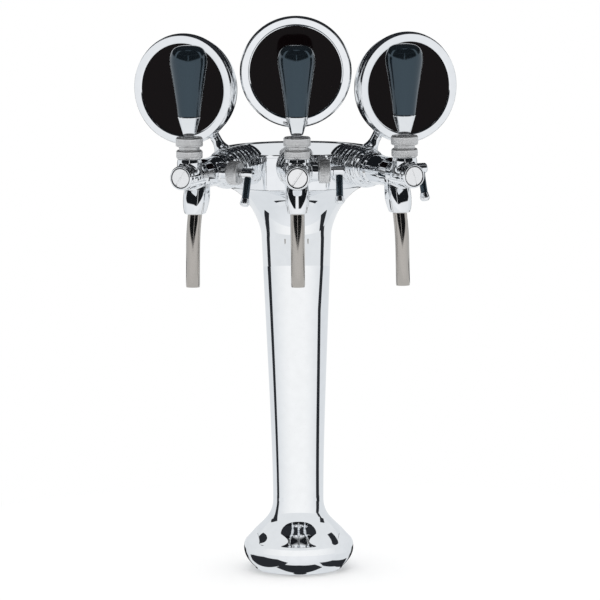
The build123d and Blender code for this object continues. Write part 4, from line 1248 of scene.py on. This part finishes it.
    def floor(self) -> None:
        """Pale floor that keeps the tower's soft shadow near it and runs out to plain white.

        Mirrors look through it at the white surround, as into a floor of polished white acrylic.
        """
        span = np.linspace(-self.floor_half, self.floor_half, 3)
        x, y = np.meshgrid(span, span, indexing="ij")
        obj = grid_mesh("floor", np.stack([x, y, 0 * x - 0.1 * MM], -1), ring=False)
        material = bpy.data.materials.new("polished_white_acrylic")
        tree = empty_tree(material)
        where = add(tree, "ShaderNodeTexCoord")
        away = add(tree, "ShaderNodeVectorMath", {"operation": "LENGTH"}, {0: where.outputs["Object"]})
        near_end, far_end = self.shadow_ends
        far = add(tree, "ShaderNodeMapRange", {"in:From Min": near_end, "in:From Max": far_end},
                  {"Value": away.outputs["Value"]})
        eye, mirror = self.rays(tree)
        blank = add(tree, "ShaderNodeMath", {"operation": "MULTIPLY"}, {0: eye, 1: far.outputs["Result"]})
        matte = add(tree, "ShaderNodeBsdfDiffuse", {"in:Color": linear("FBFBFB")})
        plain = add(tree, "ShaderNodeEmission", {"in:Color": (1, 1, 1, 1), "in:Strength": 1.0})
        clear = add(tree, "ShaderNodeBsdfTransparent")
        seen = add(tree, "ShaderNodeMixShader", {},
                   {0: blank.outputs[0], 1: matte.outputs["BSDF"], 2: plain.outputs["Emission"]})
        mix = add(tree, "ShaderNodeMixShader", {},
                  {0: mirror, 1: seen.outputs["Shader"], 2: clear.outputs["BSDF"]})
        add(tree, "ShaderNodeOutputMaterial", {}, {"Surface": mix.outputs["Shader"]})
        obj.data.materials.append(material)

    @staticmethod
    def card_paint(name: str, front: str, back: str) -> bpy.types.Material:
        """Even glow of a card, which shades from one colour in front of the tower to another behind.

        Args:
            name: name of the material.
            front: colour of its front end.
            back: colour of its back end.

        Returns:
            The new material.
        """
        material = bpy.data.materials.new(name)
        tree = empty_tree(material)
        where = add(tree, "ShaderNodeTexCoord")
        axes = add(tree, "ShaderNodeSeparateXYZ", {}, {"Vector": where.outputs["Object"]})
        depth = add(tree, "ShaderNodeMapRange", {"in:From Min": -0.45, "in:From Max": 0.1},
                    {"Value": axes.outputs["Y"]})
        colour = add(tree, "ShaderNodeMixRGB", {"in:Color1": linear(front), "in:Color2": linear(back)},
                     {"Fac": depth.outputs["Result"]})
        face = add(tree, "ShaderNodeEmission", {"in:Strength": 1.0}, {"Color": colour.outputs["Color"]})
        add(tree, "ShaderNodeOutputMaterial", {}, {"Surface": face.outputs["Emission"]})
        return material

    def cards(self) -> None:
        """Black cards, black sheets of painted shade on the floor round the foot, and a white tent with
        flaps, all of which only the tower's mirrors see.
        """
        paints = {
            "black": self.card_paint("black_felt_card", self.card_black, self.card_black),
            "roof": self.card_paint("roof_felt_card", self.roof_white, self.roof_white),
            "white": self.card_paint("white_felt_card", "FFFFFF", self.side_white),
        }
        for name, rows in self.card_rows().items():
            obj = grid_mesh(name, np.array(rows, float) * MM, ring=False)
            obj.data.materials.append(paints[name.split("_")[0]])
            obj.visible_camera = obj.visible_diffuse = obj.visible_shadow = False

    def card_rows(self) -> dict[str, list]:
        """Corners of each card, row by row, in millimetres.

        The first word of a name is the card's paint. The tent is a round wall with a flat roof round
        a hole, and the flaps are a pair of low tables beside the foot. The black sheets on the floor round
        the foot are painted shade of the floor there, which only the foot's mirror sees.

        Returns:
            Each card's rows of corners by its name.
        """
        # The side cards' height, front edge and back edge, and the overhead card's y and width.
        left = ((-15, 42, 160), (200, 49, 178), (299, 60, 230))
        right = ((-15, -21, 130), (0, -21, 130), (200, -70, 28), (299, 20, 130))
        over = ((-230, 0.3), (-200, 0.65), (-120, 0.93), (0, 1.0), (150, 0.93), (260, 0.65), (290, 0.3))
        low, roof = self.tent_z
        under_roof, over_roof, ground = roof - 1, roof + 1, 0.5
        z, on_flap = self.flap_z, self.flap_z + 0.5
        near, far = self.flap_x
        flaps = (("left", -near, -far), ("right", near, far))

        def circle(r: float, height: float) -> list[Point]:
            """Closed ring of corners round the tower: (r cos a, r sin a, height)."""
            return [(r * math.cos(a), r * math.sin(a), height) for a in np.linspace(0, 2 * math.pi, 49)]

        def flat(height: float, *rows: tuple[Pair, ...]) -> list[list[Point]]:
            """Rows of corners that all lie at one height."""
            return [[(x, y, height) for x, y in row] for row in rows]

        return {
            "black_card_left": [[(-self.card_x, y, h), (-self.card_x, back, h)] for h, y, back in left],
            "black_card_right": [[(self.card_x, y, h), (self.card_x, back, h)] for h, y, back in right],
            "black_card_overhead": [[(-520 * w, y, 1000), (520 * w, y, 1000)] for y, w in over],
            "white_tent_wall": [circle(self.tent_r, roof), circle(self.tent_r, low)],
            "roof_of_tent": [circle(self.tent_hole_r, roof), circle(self.tent_r, roof)],
            "black_strip_under_left": flat(under_roof, ((-430, 340), (-400, 60)),
                                           ((-330, 225), (-285, 45))),
            "black_strip_under_right": flat(under_roof, ((400, 200), (400, 60)), ((300, 150), (262, 48))),
            "black_strip_over_left": flat(over_roof, ((-141, -2), (-141, 39)), ((-485, 65), (-485, 222))),
            "black_strip_over_right": flat(over_roof, ((141, -26), (141, 8)), ((485, -31), (485, 110))),
            **{f"white_flap_{side}": flat(z, ((a, -60), (a, 60)), ((b, -60), (b, 140)))
               for side, a, b in flaps},
            **{f"white_flap_{side}_skirt": [[(b, -60, h), (b, 160, h)] for h in (-10, z)]
               for side, _, b in flaps},
            "black_flap_left_top": flat(on_flap, ((-near, -5), (-near, 8)), ((-far, 8), (-far, 48))),
            "black_flap_right_top": flat(on_flap, ((near, -14), (near, 4)), ((far, -14), (far, 40))),
            # Black sheets on the floor round the foot: painted shade of the floor there, seen only in the
            # foot's mirror.
            "black_card_floor_left": flat(ground, ((-20, -58), (-50, -20), (-62, -8)),
                                          ((-18, -66), (-60, -40), (-92, 8)),
                                          ((-47, -73), (-88, -50), (-99, -8))),
            "black_card_floor_right": flat(ground, ((30, -47), (41, -30), (46, -8)),
                                           ((31, -58), (53, -44), (66, -2))),
            "black_card_floor_front": flat(ground, ((-28, -46), (0, -46), (28, -45)),
                                           ((-22, -58), (0, -60), (22, -57))),
        }

    def lamps(self) -> None:
        """One wide soft lamp over the tower, hidden from mirrors so that it leaves no shape."""
        data = bpy.data.lights.new("overhead", "AREA")
        data.shape, data.size, data.size_y = "RECTANGLE", self.lamp_size, self.lamp_size
        data.energy = self.lamp_watts
        lamp = bpy.data.objects.new("overhead", data)
        lamp.location = self.lamp_at
        lamp.visible_glossy = False
        bpy.context.scene.collection.objects.link(lamp)

    def build(self) -> None:
        """Sets the stage and the view."""
        self.floor()
        self.cards()
        self.world()
        self.lamps()
        self.camera()
        scene = bpy.context.scene
        scene.view_settings.view_transform = "Standard"


def main() -> None:
    """Builds the column, the taps, the medallions and the studio in order."""
    logging.basicConfig(level=logging.INFO, format="%(message)s")
    Column().build()
    for side in Side:
        Tap(side).build()
        Medallion(side).build()
    dress_shared()
    Studio().build()


if __name__ == "__main__":
    main()
